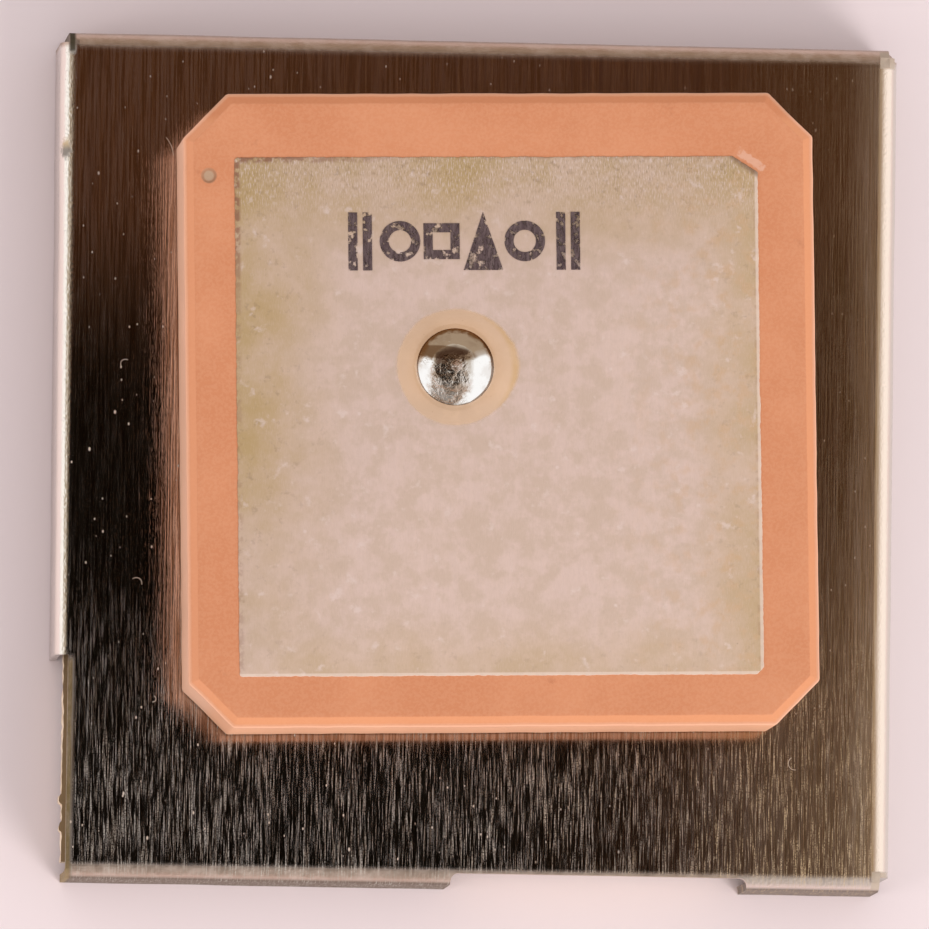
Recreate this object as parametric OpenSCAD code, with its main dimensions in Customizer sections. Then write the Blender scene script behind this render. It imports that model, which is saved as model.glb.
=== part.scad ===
// GPS receiver module: a ceramic patch antenna on a folded tinplate can that holds the circuit board.
// Millimetres. The origin is under the middle of the module, +Z points up to the antenna,
// +Y points to the back and the plug notch is at the front.

/* [Shield can] */
// Width over the side flanges
can_w = 33.5; // [32:0.1:36]
// Depth over the front and back flanges
can_d = 33.7; // [32.4:0.1:36]
// Thickness of the tinplate
sheet = 0.3; // [0.2:0.05:0.4]
// Inside radius of the folds
fold_in = 0.45; // [0.3:0.05:0.6]
// How far each flange runs past the flat top's corner
corner_run = 0.4; // [0.2:0.05:0.5]
// Width of the plug notch in the front flange
notch_w = 11.8; // [11.5:0.1:13]
// Middle of the plug notch, to the right of the middle of the can
notch_x = 5.15; // [4:0.05:6]
// Width of fold that is left above the notch
notch_lip = 0.3; // [0.1:0.05:0.4]
// Radius in the corners of the notch
notch_r = 0.3; // [0.1:0.05:0.5]
// Length of the left flange that is missing at the front
side_cut = 8.1; // [6:0.1:10]
// Width of fold that is left above the missing length
side_lip = 0.1; // [0.05:0.05:0.2]

/* [Circuit board] */
// Thickness of the board
board_t = 0.8; // [0.6:0.1:1.6]
// Height of the board's underside above the flanges' feet
board_lift = 0.6; // [0.5:0.05:1]
// Clear height between the board and the can
clear_h = 2; // [1.9:0.1:4]
// Gap between the board and each side flange
board_gap_w = 0.3; // [0.1:0.05:0.4]
// Gap between the board and the front or back flange
board_gap_d = 0.45; // [0.3:0.05:0.6]
// Radius of the nibs left on the board's left edge where it was broken from its panel
nib_r = 0.25; // [0.2:0.01:0.3]
// How far the nibs stand out of the edge
nib_out = 0.12; // [0.05:0.01:0.15]
// Place of the first nib, from the board's front edge
nib_y = 1.4; // [1:0.1:2]
// Distance between the nibs
nib_pitch = 1.1; // [0.8:0.1:1.5]

/* [Ceramic] */
// Width and depth of the ceramic block
ceramic_w = 25; // [24:0.1:26]
// Height of the ceramic block
ceramic_h = 4; // [3:0.1:5]
// Length taken off each side at a corner
ceramic_cut = 1.75; // [1:0.05:2.5]
// Width of the sloping land round the top
land_w = 0.45; // [0.2:0.05:0.8]
// Fall of the sloping land
land_fall = 0.14; // [0.05:0.01:0.2]
// Radius of the block's top edge
rim_r = 0.18; // [0.05:0.01:0.3]
// Middle of the block, to the right of the middle of the can
ceramic_x = 0.65; // [-1:0.01:1]
// Middle of the block, behind the middle of the can
ceramic_y = 1.72; // [0.5:0.01:2]
// Turn of the block on the can, in degrees
ceramic_turn = 1.4; // [-2:0.1:2]
// Diameter of the pin's bore
ceramic_bore = 1.2; // [1.05:0.05:1.5]
// Distance from the block's left side to the middle of the dimple in its top
dimple_left = 1; // [0.8:0.05:2]
// Distance from the block's back to the middle of the dimple
dimple_back = 3.2; // [2.5:0.05:4]
// Diameter of the dimple
dimple_d = 0.5; // [0.3:0.05:0.7]
// Depth of the dimple
dimple_deep = 0.06; // [0.02:0.01:0.1]
// Thickness of the adhesive pad
pad_t = 0.3; // [0.15:0.05:0.5]
// How far the pad's edge lies inside the block's edge
pad_inset = 0.3; // [0.1:0.05:0.6]

/* [Electrodes] */
// Thickness of the fired silver
silver_t = 0.04; // [0.02:0.01:0.08]
// Width of the patch electrode
patch_w = 20.8; // [19:0.1:22]
// Depth of the patch electrode
patch_d = 20.6; // [19:0.1:22]
// Middle of the patch, to the right of the middle of the block
patch_x = -0.11; // [-0.5:0.01:0.5]
// Middle of the patch, behind the middle of the block
patch_y = -0.27; // [-0.5:0.01:0.5]
// Length trimmed off the patch's back edge at its right corner
trim_w = 1; // [0.5:0.05:1.5]
// Length trimmed off the patch's right edge at its back corner
trim_d = 0.65; // [0.3:0.05:1]
// Length trimmed off both edges at the front right corner
nick = 0.45; // [0.2:0.05:0.8]
// How far the ground electrode's edge lies inside the block's edge
ground_inset = 0.25; // [0.1:0.05:0.6]

/* [Feed] */
// Place of the feed pin, to the right of the middle of the patch
feed_x = -1.73; // [-2.5:0.01:-1]
// Place of the feed pin, behind the middle of the patch
feed_y = 1.93; // [1.2:0.01:2.6]
// Diameter of the pin
pin_d = 0.9; // [0.7:0.05:1]
// Diameter of the pin's head
head_d = 1.8; // [1.4:0.1:2.2]
// Thickness of the pin's head
head_t = 0.3; // [0.2:0.05:0.5]
// Length of pin under the board
pin_end = 0.4; // [0.3:0.05:0.45]
// Clearance hole round the pin in the can, the pad and the ground electrode
feed_hole = 3; // [2:0.1:4]
// Diameter of the solder dome on the patch
dome_d = 3.25; // [2.8:0.05:3.8]
// Height of the solder dome
dome_h = 1.15; // [0.8:0.05:1.5]
// Width of the flux ring outside the dome
flux_w = 0.62; // [0.3:0.02:0.9]
// Height of the flux film at its middle
flux_h = 0.16; // [0.1:0.02:0.2]
// How far the flux's side lobe reaches past the ring
lobe_out = 0.45; // [0.2:0.05:0.7]

/* [Ink mark] */
// Length of the row of inked shapes
ink_w = 9.9; // [8:0.1:11]
// Height of the inked shapes
ink_h = 2.3; // [1.8:0.1:2.6]
// Width of an inked line
ink_line = 0.36; // [0.25:0.01:0.5]
// Thickness of the ink
ink_t = 0.02; // [0.01:0.01:0.03]
// Middle of the row, to the right of the middle of the patch
ink_x = -1.38; // [-2:0.02:1]
// Middle of the row, behind the middle of the patch
ink_y = 6.93; // [6:0.02:7.6]

/* [Plug socket] */
// Number of contacts
ways = 8; // [5:1:8]
// Distance between contacts
pitch = 1; // [0.8:0.05:1]
// Width of the housing past the outer contacts, on each side
cheek = 1.4; // [1.2:0.05:1.5]
// Height of the housing
socket_h = 1.8; // [1.6:0.05:1.9]
// Depth of the housing
socket_d = 4.2; // [3.8:0.1:5]
// Wall of the housing
socket_wall = 0.35; // [0.25:0.05:0.4]
// Depth of the mouth that takes the plug
mouth_d = 2.8; // [2:0.1:3.2]
// Distance from the board's front edge to the mouth
socket_set = 0.1; // [0:0.05:0.3]
// Side of a contact
contact = 0.3; // [0.2:0.02:0.36]
// Length of a contact's tail behind the housing
tail = 0.9; // [0.6:0.05:1.2]
// Distance from the mouth's front to the tips of the contacts
tip = 0.8; // [0.5:0.05:1.2]
// Width of a solder anchor beside the housing
anchor_w = 0.5; // [0.4:0.05:0.6]
// Length of a solder anchor
anchor_d = 1.6; // [1:0.1:2]

/* [Chips] */
// Side of the positioning chip
gnss_w = 9; // [7:0.1:9.5]
// Height of the positioning chip
gnss_h = 1.1; // [0.8:0.05:1.4]
// Side of the radio chip
radio_w = 5; // [4:0.1:5.5]
// Height of the radio chip
radio_h = 0.9; // [0.7:0.05:1.2]
// Width of the flash memory
flash_w = 8; // [6:0.1:8.5]
// Length of the flash memory's body
flash_d = 11.8; // [10:0.1:12.2]
// Height of the flash memory
flash_h = 1; // [0.8:0.05:1.2]
// Leads on each end of the flash memory
flash_leads = 14; // [8:1:15]
// Distance between the flash memory's leads
flash_pitch = 0.5; // [0.4:0.01:0.55]
// Width of the radio amplifier
amp_w = 2; // [1.6:0.1:2.2]
// Depth of the radio amplifier's body
amp_d = 1.25; // [1:0.05:1.4]
// Height of the radio amplifier
amp_h = 0.95; // [0.7:0.05:1.1]
// Width of the voltage regulator
reg_w = 2.9; // [2.5:0.1:3.1]
// Depth of the voltage regulator's body
reg_d = 1.6; // [1.4:0.05:1.8]
// Height of the voltage regulator
reg_h = 1.1; // [0.9:0.05:1.3]
// Distance between the regulator's leads
reg_pitch = 0.95; // [0.8:0.05:1]
// Reach of a chip's lead past its body
lead_reach = 0.75; // [0.5:0.05:0.9]
// Thickness of a chip's lead
lead_t = 0.15; // [0.1:0.01:0.2]
// Width of a chip's lead
lead_w = 0.24; // [0.15:0.01:0.3]

/* [Other components] */
// Side of the band filter
saw_w = 3; // [2.4:0.1:3.2]
// Height of the band filter
saw_h = 1.1; // [0.8:0.05:1.3]
// Width of the clock oscillator
clock_w = 3.2; // [2.5:0.1:3.4]
// Depth of the clock oscillator
clock_d = 2.5; // [2:0.1:2.7]
// Height of the clock oscillator
clock_h = 0.9; // [0.7:0.05:1.2]
// Height of the oscillator's ceramic base
clock_foot = 0.4; // [0.3:0.05:0.5]
// Width of base left round the oscillator's lid
clock_rim = 0.2; // [0.1:0.05:0.4]
// Diameter of the watch crystal's case
xtal_d = 1.5; // [1.2:0.1:1.7]
// Length of the watch crystal's case
xtal_len = 5.1; // [4.5:0.1:5.4]
// Thickness of the watch crystal's wires
wire = 0.25; // [0.2:0.01:0.3]
// Diameter of the backup cell
cell_d = 4.8; // [4:0.1:5]
// Height of the backup cell
cell_h = 1.4; // [1.2:0.05:1.6]
// Thickness of the cell's welded tabs
tab_t = 0.12; // [0.1:0.01:0.15]
// Width of the cell's welded tabs
tab_w = 1.2; // [0.8:0.1:1.6]
// Reach of the cell's tabs past the cell
tab_reach = 0.6; // [0.5:0.05:0.8]
// Gap between the cell and the tab that comes down beside it
tab_gap = 0.2; // [0.15:0.05:0.3]
// Side of the power inductor
coil_w = 3; // [2.5:0.1:3.2]
// Height of the power inductor
coil_h = 1.2; // [1:0.05:1.6]
// Thickness of the inductor's two plates
coil_plate = 0.3; // [0.2:0.05:0.4]
// Length of a tantalum capacitor
tant_w = 3.2; // [2.8:0.1:3.5]
// Depth of a tantalum capacitor
tant_d = 1.6; // [1.4:0.05:1.8]
// Height of a tantalum capacitor
tant_h = 1.6; // [1.2:0.05:1.7]
// Thickness of a tantalum capacitor's lead
tant_lap = 0.12; // [0.1:0.01:0.2]
// Length of a small capacitor or resistor
chip_l = 1; // [0.8:0.05:1.2]
// Width of a small capacitor or resistor
chip_w = 0.5; // [0.4:0.05:0.6]
// Height of a small capacitor
cap_h = 0.5; // [0.4:0.05:0.6]
// Height of a small resistor
res_h = 0.35; // [0.25:0.05:0.45]
// Distance between small components in a row
row_pitch = 1.4; // [1.1:0.05:1.5]
// Distance between the rows
column_pitch = 2.4; // [1.8:0.1:3]
// Small components in a long row
row_count = 6; // [4:1:6]
// Small components in the short row
short_count = 4; // [3:1:6]
// Clearance between neighbouring components
part_gap = 0.6; // [0.3:0.05:0.8]
// Rim of the board that holds no components
board_rim = 1.2; // [0.8:0.05:1.5]

/* [Solder and pads] */
// Length of a solder joint between the can and the board
joint_len = 3; // [2:0.1:4]
// Height of a solder joint under the board
joint_h = 0.45; // [0.3:0.05:0.48]
// Width of a solder joint on the board's underside
joint_w = 0.8; // [0.5:0.05:1.2]
// Radius of a solder joint's hollow face
joint_r = 1.2; // [1:0.1:2]
// Diameter of a test pad
test_d = 1.3; // [1:0.05:1.5]
// Distance between test pads
test_pitch = 1.9; // [1.7:0.05:2.2]
// Place of the first row of test pads, from the board's front edge
test_y = 3; // [2:0.1:5]
// Number of test pads in a row
test_count = 7; // [3:1:7]
// Thickness of a test pad
test_t = 0.05; // [0.02:0.01:0.08]

/* [Hidden] */
$fn = 48;
far = 60;

fold_out = fold_in + sheet;
flat_w = can_w - 2 * fold_out;
flat_d = can_d - 2 * fold_out;
board_top = board_lift + board_t;
can_h = board_top + clear_h + sheet;
board_w = can_w - 2 * (sheet + board_gap_w);
board_d = can_d - 2 * (sheet + board_gap_d);
left = -board_w / 2;
right = board_w / 2;
front = -board_d / 2;
back = board_d / 2;

pad_z = can_h;
ground_z = pad_z + pad_t;
ceramic_z = ground_z + silver_t;
patch_z = ceramic_z + ceramic_h;
head_z = patch_z + silver_t;
dome_r = (pow(dome_d / 2, 2) + dome_h * dome_h) / (2 * dome_h);
flux_d = dome_d + 2 * flux_w;

socket_w = (ways - 1) * pitch + 2 * cheek;
socket_y = front + socket_set;
socket_back = socket_y + socket_d;
contact_z = board_top + socket_h / 2;

// The feed's place in the can's own axes
function turned(p, a) = [p.x * cos(a) - p.y * sin(a), p.x * sin(a) + p.y * cos(a)];
feed = [ceramic_x, ceramic_y] + turned([patch_x + feed_x, patch_y + feed_y], ceramic_turn);

// The left column, from the front edge to the back edge
cell_at = [left + board_rim + tab_reach + cell_d / 2, front + board_rim + cell_d / 2];
flash_at = [left + board_rim + flash_w / 2, cell_at.y + cell_d / 2 + part_gap + lead_reach + flash_d / 2];
clock_at = [left + board_rim + clock_w / 2, back - board_rim - clock_d / 2];
saw_at = [left + board_rim + saw_w / 2, clock_at.y - clock_d / 2 - part_gap - saw_w / 2];

// The middle, round the feed pin and behind the socket
xtal_at = [flash_at.x + flash_w / 2 + part_gap + xtal_d / 2, front + board_rim + xtal_len / 2];
radio_at = [clock_at.x + clock_w / 2 + part_gap + radio_w / 2, back - board_rim - radio_w / 2];
amp_at = feed - [feed_hole / 2 + part_gap + amp_w / 2, 0];
row_x = xtal_at.x + xtal_d / 2 + part_gap + chip_l / 2;
row_y = socket_back + contact + tail + part_gap + chip_w / 2;

// The right column, from the back edge to the front edge
gnss_at = [right - board_rim - gnss_w / 2, back - board_rim - gnss_w / 2];
tant_x = right - board_rim - tant_lap - tant_w / 2;
tant_y = gnss_at.y - gnss_w / 2 - part_gap - tant_d / 2;
tant_at = [[tant_x, tant_y], [tant_x, tant_y - tant_d - part_gap]];
coil_at = [right - board_rim - coil_w / 2, tant_at[1].y - tant_d / 2 - part_gap - coil_w / 2];
reg_at = [right - board_rim - reg_w / 2, coil_at.y - coil_w / 2 - part_gap - lead_reach - reg_d / 2];

// Each row of small components: its first place and how many it holds
cap_rows = [[row_x + 2 * column_pitch, row_y, row_count],
    [gnss_at.x - gnss_w / 2 - part_gap - chip_l / 2,
        gnss_at.y - (row_count - 1) * row_pitch / 2, row_count],
    [radio_at.x + radio_w / 2 + part_gap + chip_l / 2,
        back - board_rim - chip_w / 2 - (short_count - 1) * row_pitch, short_count]];
res_rows = [[row_x, row_y, row_count], [row_x + column_pitch, row_y, row_count]];

module on_can() {
    translate([ceramic_x, ceramic_y, 0]) rotate(ceramic_turn) children();
}

module on_patch() {
    on_can() translate([patch_x, patch_y, 0]) children();
}

module block(w, d, h, at, z = board_top) {
    translate([at.x - w / 2, at.y - d / 2, z]) cube([w, d, h]);
}

// Section of one flange: the fold's arc and the straight leg, with x outwards from the flat top's edge
module fold_section() {
    intersection() {
        difference() {
            circle(r = fold_out);
            circle(r = fold_in);
        }
        square(fold_out);
    }
    translate([fold_in, fold_out - can_h]) square([sheet, can_h - fold_out]);
}

// One flange: side 0 is the back, 90 the left, 180 the front and 270 the right
module flange(side, edge, from, to) {
    rotate(side) translate([from, edge, can_h - fold_out]) rotate([90, 0, 90])
        linear_extrude(to - from) fold_section();
}

module folded_sheet() {
    translate([-flat_w / 2, -flat_d / 2, can_h - sheet]) cube([flat_w, flat_d, sheet]);
    run_w = flat_w / 2 + corner_run;
    run_d = flat_d / 2 + corner_run;
    flange(0, flat_d / 2, -run_w, run_w);
    flange(90, flat_w / 2, -run_d, run_d);
    flange(270, flat_w / 2, -run_d, run_d);
    flange(180, flat_d / 2, -run_w, run_w);
    corner_web();
}

// Stretched metal that closes the back right corner
module corner_web() {
    translate([flat_w / 2, flat_d / 2, can_h - fold_out]) intersection() {
        difference() {
            sphere(r = fold_out);
            sphere(r = fold_in);
        }
        cube(fold_out);
    }
}

module notch_plan() {
    inner = -flat_d / 2 - notch_lip;
    translate([notch_x - notch_w / 2 + notch_r, -far]) square([notch_w - 2 * notch_r, far + inner]);
    translate([notch_x - notch_w / 2, -far]) square([notch_w, far + inner - notch_r]);
    for (s = [-1, 1])
        translate([notch_x + s * (notch_w / 2 - notch_r), inner - notch_r]) circle(r = notch_r);
}

module shield_can() {
    color([0.72, 0.7, 0.67]) difference() {
        folded_sheet();
        translate([0, 0, -1]) linear_extrude(far) notch_plan();
        translate([-far - flat_w / 2 - side_lip, -far - flat_d / 2 + side_cut, -1]) cube(far);
        translate([feed.x, feed.y, 0]) cylinder(d = feed_hole, h = far);
    }
}

// Eight-sided plan of the ceramic and of the layers that follow it
module cut_plan(inset) {
    half = ceramic_w / 2 - inset;
    corner = half - ceramic_cut + inset * (2 - sqrt(2));
    polygon([[half, -corner], [half, corner], [corner, half], [-corner, half],
        [-half, corner], [-half, -corner], [-corner, -half], [corner, -half]]);
}

module adhesive_pad() {
    color([0.86, 0.85, 0.8]) difference() {
        translate([0, 0, pad_z]) on_can() linear_extrude(pad_t) cut_plan(pad_inset);
        translate([feed.x, feed.y, 0]) cylinder(d = feed_hole, h = far);
    }
}

module ground_electrode() {
    color([0.8, 0.78, 0.74]) difference() {
        translate([0, 0, ground_z]) on_can() linear_extrude(silver_t) cut_plan(ground_inset);
        translate([feed.x, feed.y, 0]) cylinder(d = feed_hole, h = far);
    }
}

// Side view of the block between two opposite faces, with its rounded rim and sloping land
module block_section(w) {
    half = w / 2;
    intersection() {
        union() {
            translate([-half, 0]) square([w, ceramic_h - rim_r]);
            translate([rim_r - half, 0]) square([w - 2 * rim_r, ceramic_h]);
            for (s = [-1, 1]) translate([s * (half - rim_r), ceramic_h - rim_r]) circle(r = rim_r);
        }
        polygon([[-half, 0], [half, 0], [half, ceramic_h - land_fall], [half - land_w, ceramic_h],
            [land_w - half, ceramic_h], [-half, ceramic_h - land_fall]]);
    }
}

module ceramic_block() {
    across = (ceramic_w - ceramic_cut) * sqrt(2);
    color([0.88, 0.57, 0.42]) translate([0, 0, ceramic_z]) difference() {
        on_can() intersection_for(a = [0, 45, 90, 135])
            rotate(a) translate([0, far / 2, 0]) rotate([90, 0, 0]) linear_extrude(far)
                block_section(a % 90 == 0 ? ceramic_w : across);
        on_can() translate([dimple_left - ceramic_w / 2, ceramic_w / 2 - dimple_back, 0])
            translate([0, 0, ceramic_h - dimple_deep]) cylinder(d = dimple_d, h = 1);
        translate([feed.x, feed.y, -1]) cylinder(d = ceramic_bore, h = ceramic_h + 2);
    }
}

module patch_electrode() {
    w = patch_w / 2;
    d = patch_d / 2;
    color([0.82, 0.77, 0.7]) translate([0, 0, patch_z]) difference() {
        on_patch() linear_extrude(silver_t)
            polygon([[-w, -d], [w - nick, -d], [w, nick - d], [w, d - trim_d], [w - trim_w, d], [-w, d]]);
        translate([feed.x, feed.y, -1]) cylinder(d = pin_d, h = 2);
    }
}

module feed_pin() {
    color([0.78, 0.75, 0.68]) translate([feed.x, feed.y, 0]) {
        translate([0, 0, board_lift - pin_end]) cylinder(d = pin_d, h = head_z - board_lift + pin_end);
        translate([0, 0, head_z]) cylinder(d = head_d, h = head_t);
    }
}

module dome_body() {
    intersection() {
        translate([0, 0, dome_h - dome_r]) sphere(r = dome_r);
        cylinder(r = dome_d, h = dome_h);
    }
}

module solder_dome() {
    color([0.85, 0.83, 0.8]) translate([feed.x, feed.y, head_z]) difference() {
        dome_body();
        cylinder(d = head_d, h = head_t);
    }
}

// Film of hardened flux on a round base, thinner towards its edge
module flux_film(d, h) {
    cylinder(d1 = d, d2 = d - flux_w, h = h);
}

module flux_ring() {
    lobe_d = flux_d - 2 * flux_w;
    color([0.85, 0.72, 0.5, 0.7]) translate([feed.x, feed.y, head_z]) difference() {
        union() {
            flux_film(flux_d, flux_h);
            rotate(ceramic_turn) translate([(flux_d - lobe_d) / 2 + lobe_out, flux_w / 2, 0])
                flux_film(lobe_d, flux_h * 0.8);
        }
        dome_body();
    }
}

// Row of plain stamped shapes: a bar, a ring, a wedge, a square, a cross and a ring
module ink_shape(i, s) {
    if (i == 0 || i == 5) {
        translate([-ink_line * 1.1, -s / 2]) square([ink_line, s]);
        translate([ink_line * 0.5, -s / 2]) square([ink_line, s]);
    } else if (i == 1 || i == 4) {
        difference() {
            circle(d = s * 0.7);
            circle(d = s * 0.7 - 2 * ink_line);
        }
    } else if (i == 2) {
        difference() {
            square(s * 0.62, center = true);
            square(s * 0.62 - 2 * ink_line, center = true);
        }
    } else {
        polygon([[-s * 0.34, -s / 2], [s * 0.34, -s / 2], [0, s / 2]]);
    }
}

module ink_mark() {
    step = ink_w / 6;
    color([0.36, 0.3, 0.31]) translate([0, 0, head_z]) on_patch() translate([ink_x, ink_y, 0])
        linear_extrude(ink_t) for (i = [0:5])
            translate([(i - 2.5) * step, 0]) ink_shape(i, ink_h);
}

module main_board() {
    color([0.16, 0.36, 0.22]) difference() {
        union() {
            block(board_w, board_d, board_t, [0, 0], board_lift);
            for (i = [0, 1])
                translate([left + nib_r - nib_out, front + nib_y + i * nib_pitch, board_lift])
                    cylinder(r = nib_r, h = board_t);
        }
        translate([feed.x, feed.y, 0]) cylinder(d = pin_d, h = far);
    }
}

module positioning_chip() {
    color([0.12, 0.12, 0.13]) block(gnss_w, gnss_w, gnss_h, gnss_at);
}

module radio_chip() {
    color([0.13, 0.13, 0.14]) block(radio_w, radio_w, radio_h, radio_at);
}

module flash_memory() {
    color([0.11, 0.11, 0.12]) block(flash_w, flash_d, flash_h - lead_t, flash_at, board_top + lead_t);
}

module radio_amplifier() {
    color([0.12, 0.12, 0.13]) block(amp_w, amp_d, amp_h - lead_t, amp_at, board_top + lead_t);
}

module voltage_regulator() {
    color([0.12, 0.12, 0.13]) block(reg_w, reg_d, reg_h - lead_t, reg_at, board_top + lead_t);
}

// One bent lead that leaves a body at its side, comes down and lies on the board
module lead(h) {
    knee = lead_reach * 0.45;
    translate([lead_w / 2, 0, 0]) rotate([0, -90, 0]) linear_extrude(lead_w)
        polygon([[0, knee - lead_t], [h / 2, knee - lead_t], [h / 2, 0], [h / 2 + lead_t, 0],
            [h / 2 + lead_t, knee], [lead_t, knee], [lead_t, lead_reach], [0, lead_reach]]);
}

// Leads in a row on the back (side 1) or the front (side -1) of a body
module lead_row(at, body_d, h, places, side) {
    for (x = places)
        translate([at.x + x, at.y + side * body_d / 2, board_top])
            mirror([0, side < 0 ? 1 : 0, 0]) lead(h);
}

function spread(count, step) = [for (i = [0:count - 1]) (i - (count - 1) / 2) * step];

module chip_leads() {
    color([0.8, 0.79, 0.76]) {
        for (side = [-1, 1]) lead_row(flash_at, flash_d, flash_h, spread(flash_leads, flash_pitch), side);
        for (side = [-1, 1]) lead_row(amp_at, amp_d, amp_h, spread(2, amp_w * 0.6), side);
        lead_row(reg_at, reg_d, reg_h, spread(3, reg_pitch), -1);
        lead_row(reg_at, reg_d, reg_h, spread(2, 2 * reg_pitch), 1);
    }
}

module band_filter() {
    color([0.75, 0.68, 0.5]) block(saw_w, saw_w, saw_h, saw_at);
}

module clock_base() {
    color([0.85, 0.82, 0.76]) block(clock_w, clock_d, clock_foot, clock_at);
}

module clock_lid() {
    color([0.78, 0.76, 0.72]) block(clock_w - 2 * clock_rim, clock_d - 2 * clock_rim,
        clock_h - clock_foot, clock_at, board_top + clock_foot);
}

module watch_crystal() {
    color([0.75, 0.75, 0.76]) translate([xtal_at.x, xtal_at.y - xtal_len / 2, board_top + xtal_d / 2]) {
        rotate([-90, 0, 0]) cylinder(d = xtal_d, h = xtal_len);
        for (s = [-1, 1])
            translate([s * xtal_d / 4 - wire / 2, xtal_len, -xtal_d / 2]) {
                cube([wire, wire, xtal_d / 2 + wire / 2]);
                translate([0, wire, 0]) cube([wire, 2 * wire, wire]);
            }
    }
}

module backup_cell() {
    color([0.8, 0.79, 0.77]) translate([cell_at.x, cell_at.y, board_top + tab_t])
        cylinder(d = cell_d, h = cell_h);
}

// A flat tab under the cell, and one welded on top that comes down beside it
module cell_tabs() {
    side = cell_d / 2 + tab_gap;
    color([0.78, 0.76, 0.72]) translate([cell_at.x, cell_at.y - tab_w / 2, board_top]) {
        translate([-cell_d / 2 - tab_reach, 0, 0]) cube([cell_d * 0.6 + tab_reach, tab_w, tab_t]);
        translate([0, 0, cell_h + tab_t]) cube([side + tab_t, tab_w, tab_t]);
        translate([side, 0, 0]) cube([tab_t, tab_w, cell_h + 2 * tab_t]);
        translate([side, 0, 0]) cube([tab_reach, tab_w, tab_t]);
    }
}

module power_inductor() {
    color([0.3, 0.3, 0.31]) {
        block(coil_w, coil_w, coil_plate, coil_at);
        translate([coil_at.x, coil_at.y, board_top]) cylinder(d = coil_w * 0.8, h = coil_h - coil_plate);
        block(coil_w, coil_w, coil_plate, coil_at, board_top + coil_h - coil_plate);
    }
}

module tantalum_capacitors() {
    color([0.85, 0.62, 0.2]) for (at = tant_at) {
        block(tant_w, tant_d, tant_h - tant_lap, at, board_top + tant_lap);
        for (s = [-1, 1])
            block(tant_w / 4, tant_d * 0.7, tant_lap, at + [s * (tant_w * 3 / 8 + tant_lap), 0]);
    }
}

module chip_row(row, h) {
    for (i = [0:row[2] - 1]) block(chip_l, chip_w, h, [row.x, row.y + i * row_pitch]);
}

module ceramic_capacitors() {
    color([0.7, 0.55, 0.4]) for (row = cap_rows) chip_row(row, cap_h);
}

module chip_resistors() {
    color([0.15, 0.15, 0.16]) for (row = res_rows) chip_row(row, res_h);
}

module socket_housing() {
    inner_w = socket_w - 2 * socket_wall;
    inner_h = socket_h - 2 * socket_wall;
    color([0.9, 0.88, 0.82]) difference() {
        translate([notch_x - socket_w / 2, socket_y, board_top]) cube([socket_w, socket_d, socket_h]);
        translate([notch_x - inner_w / 2, socket_y - socket_wall, board_top + socket_wall])
            cube([inner_w, mouth_d + socket_wall, inner_h]);
        for (x = spread(ways, pitch))
            translate([notch_x + x - contact / 2, socket_y, contact_z - contact / 2])
                cube([contact, socket_d + contact, contact]);
    }
}

// Each contact stands in the mouth, runs through the housing and comes down behind it
module socket_contacts() {
    color([0.85, 0.72, 0.4]) for (x = spread(ways, pitch))
        translate([notch_x + x - contact / 2, socket_y + tip, 0]) {
            translate([0, 0, contact_z - contact / 2]) cube([contact, socket_d - tip + contact, contact]);
            translate([0, socket_d - tip, board_top]) cube([contact, contact, contact_z - board_top]);
            translate([0, socket_d - tip, board_top]) cube([contact, tail, contact / 2]);
        }
}

module socket_anchors() {
    color([0.8, 0.79, 0.76]) for (s = [-1, 1])
        translate([notch_x + s * (socket_w / 2 + anchor_w / 2), socket_y + socket_d / 2, board_top]) {
            translate([-anchor_w / 2, -anchor_d / 2, 0]) cube([anchor_w, anchor_d, lead_t]);
            translate([-anchor_w / 2 + (s < 0 ? anchor_w - lead_t : 0), -anchor_d / 2, 0])
                cube([lead_t, anchor_d, socket_h * 0.6]);
        }
}

module feed_joint() {
    color([0.82, 0.81, 0.79]) translate([feed.x, feed.y, board_lift - pin_end]) difference() {
        cylinder(d1 = pin_d * 1.3, d2 = pin_d * 2, h = pin_end);
        cylinder(d = pin_d, h = pin_end);
    }
}

// Section of a solder joint: it fills the gap beside the board and runs out under it in a hollow curve
module joint_section(gap) {
    reach = [gap + joint_w, -joint_h];
    middle = [(gap - joint_w) / 2, -joint_h / 2];
    across = [reach.y, -reach.x] / norm(reach);
    difference() {
        polygon([[-joint_w, 0], [gap, 0], [gap, -joint_h]]);
        translate(middle + across * sqrt(pow(joint_r, 2) - pow(norm(reach) / 2, 2))) circle(r = joint_r);
    }
    square([gap, board_t]);
}

module joint(side, edge, gap, at) {
    rotate(side) translate([at - joint_len / 2, edge, board_lift]) rotate([90, 0, 90])
        linear_extrude(joint_len) joint_section(gap);
}

module can_joints() {
    color([0.82, 0.81, 0.79]) {
        for (s = [-1, 1]) joint(0, back, board_gap_d, s * board_w / 3.5);
        for (s = [-1, 1]) joint(270, right, board_gap_w, s * board_d / 3.5);
        for (s = [0, 1]) joint(90, right, board_gap_w, s * board_d / 3.2);
        joint(180, back, board_gap_d, board_w / 3.5);
    }
}

module test_pads() {
    color([0.83, 0.68, 0.3]) for (x = spread(test_count, test_pitch), y = [0, test_pitch])
        translate([x, front + test_y + y, board_lift - test_t]) cylinder(d = test_d, h = test_t);
}

shield_can();
adhesive_pad();
ceramic_block();
ground_electrode();
patch_electrode();
feed_pin();
solder_dome();
flux_ring();
ink_mark();
main_board();
positioning_chip();
radio_chip();
flash_memory();
radio_amplifier();
voltage_regulator();
chip_leads();
band_filter();
clock_base();
clock_lid();
watch_crystal();
backup_cell();
cell_tabs();
power_inductor();
tantalum_capacitors();
ceramic_capacitors();
chip_resistors();
socket_housing();
socket_contacts();
socket_anchors();
feed_joint();
can_joints();
test_pads();
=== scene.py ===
import math
from types import SimpleNamespace

import bmesh
import bpy
from mathutils import Matrix, Vector, noise


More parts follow.
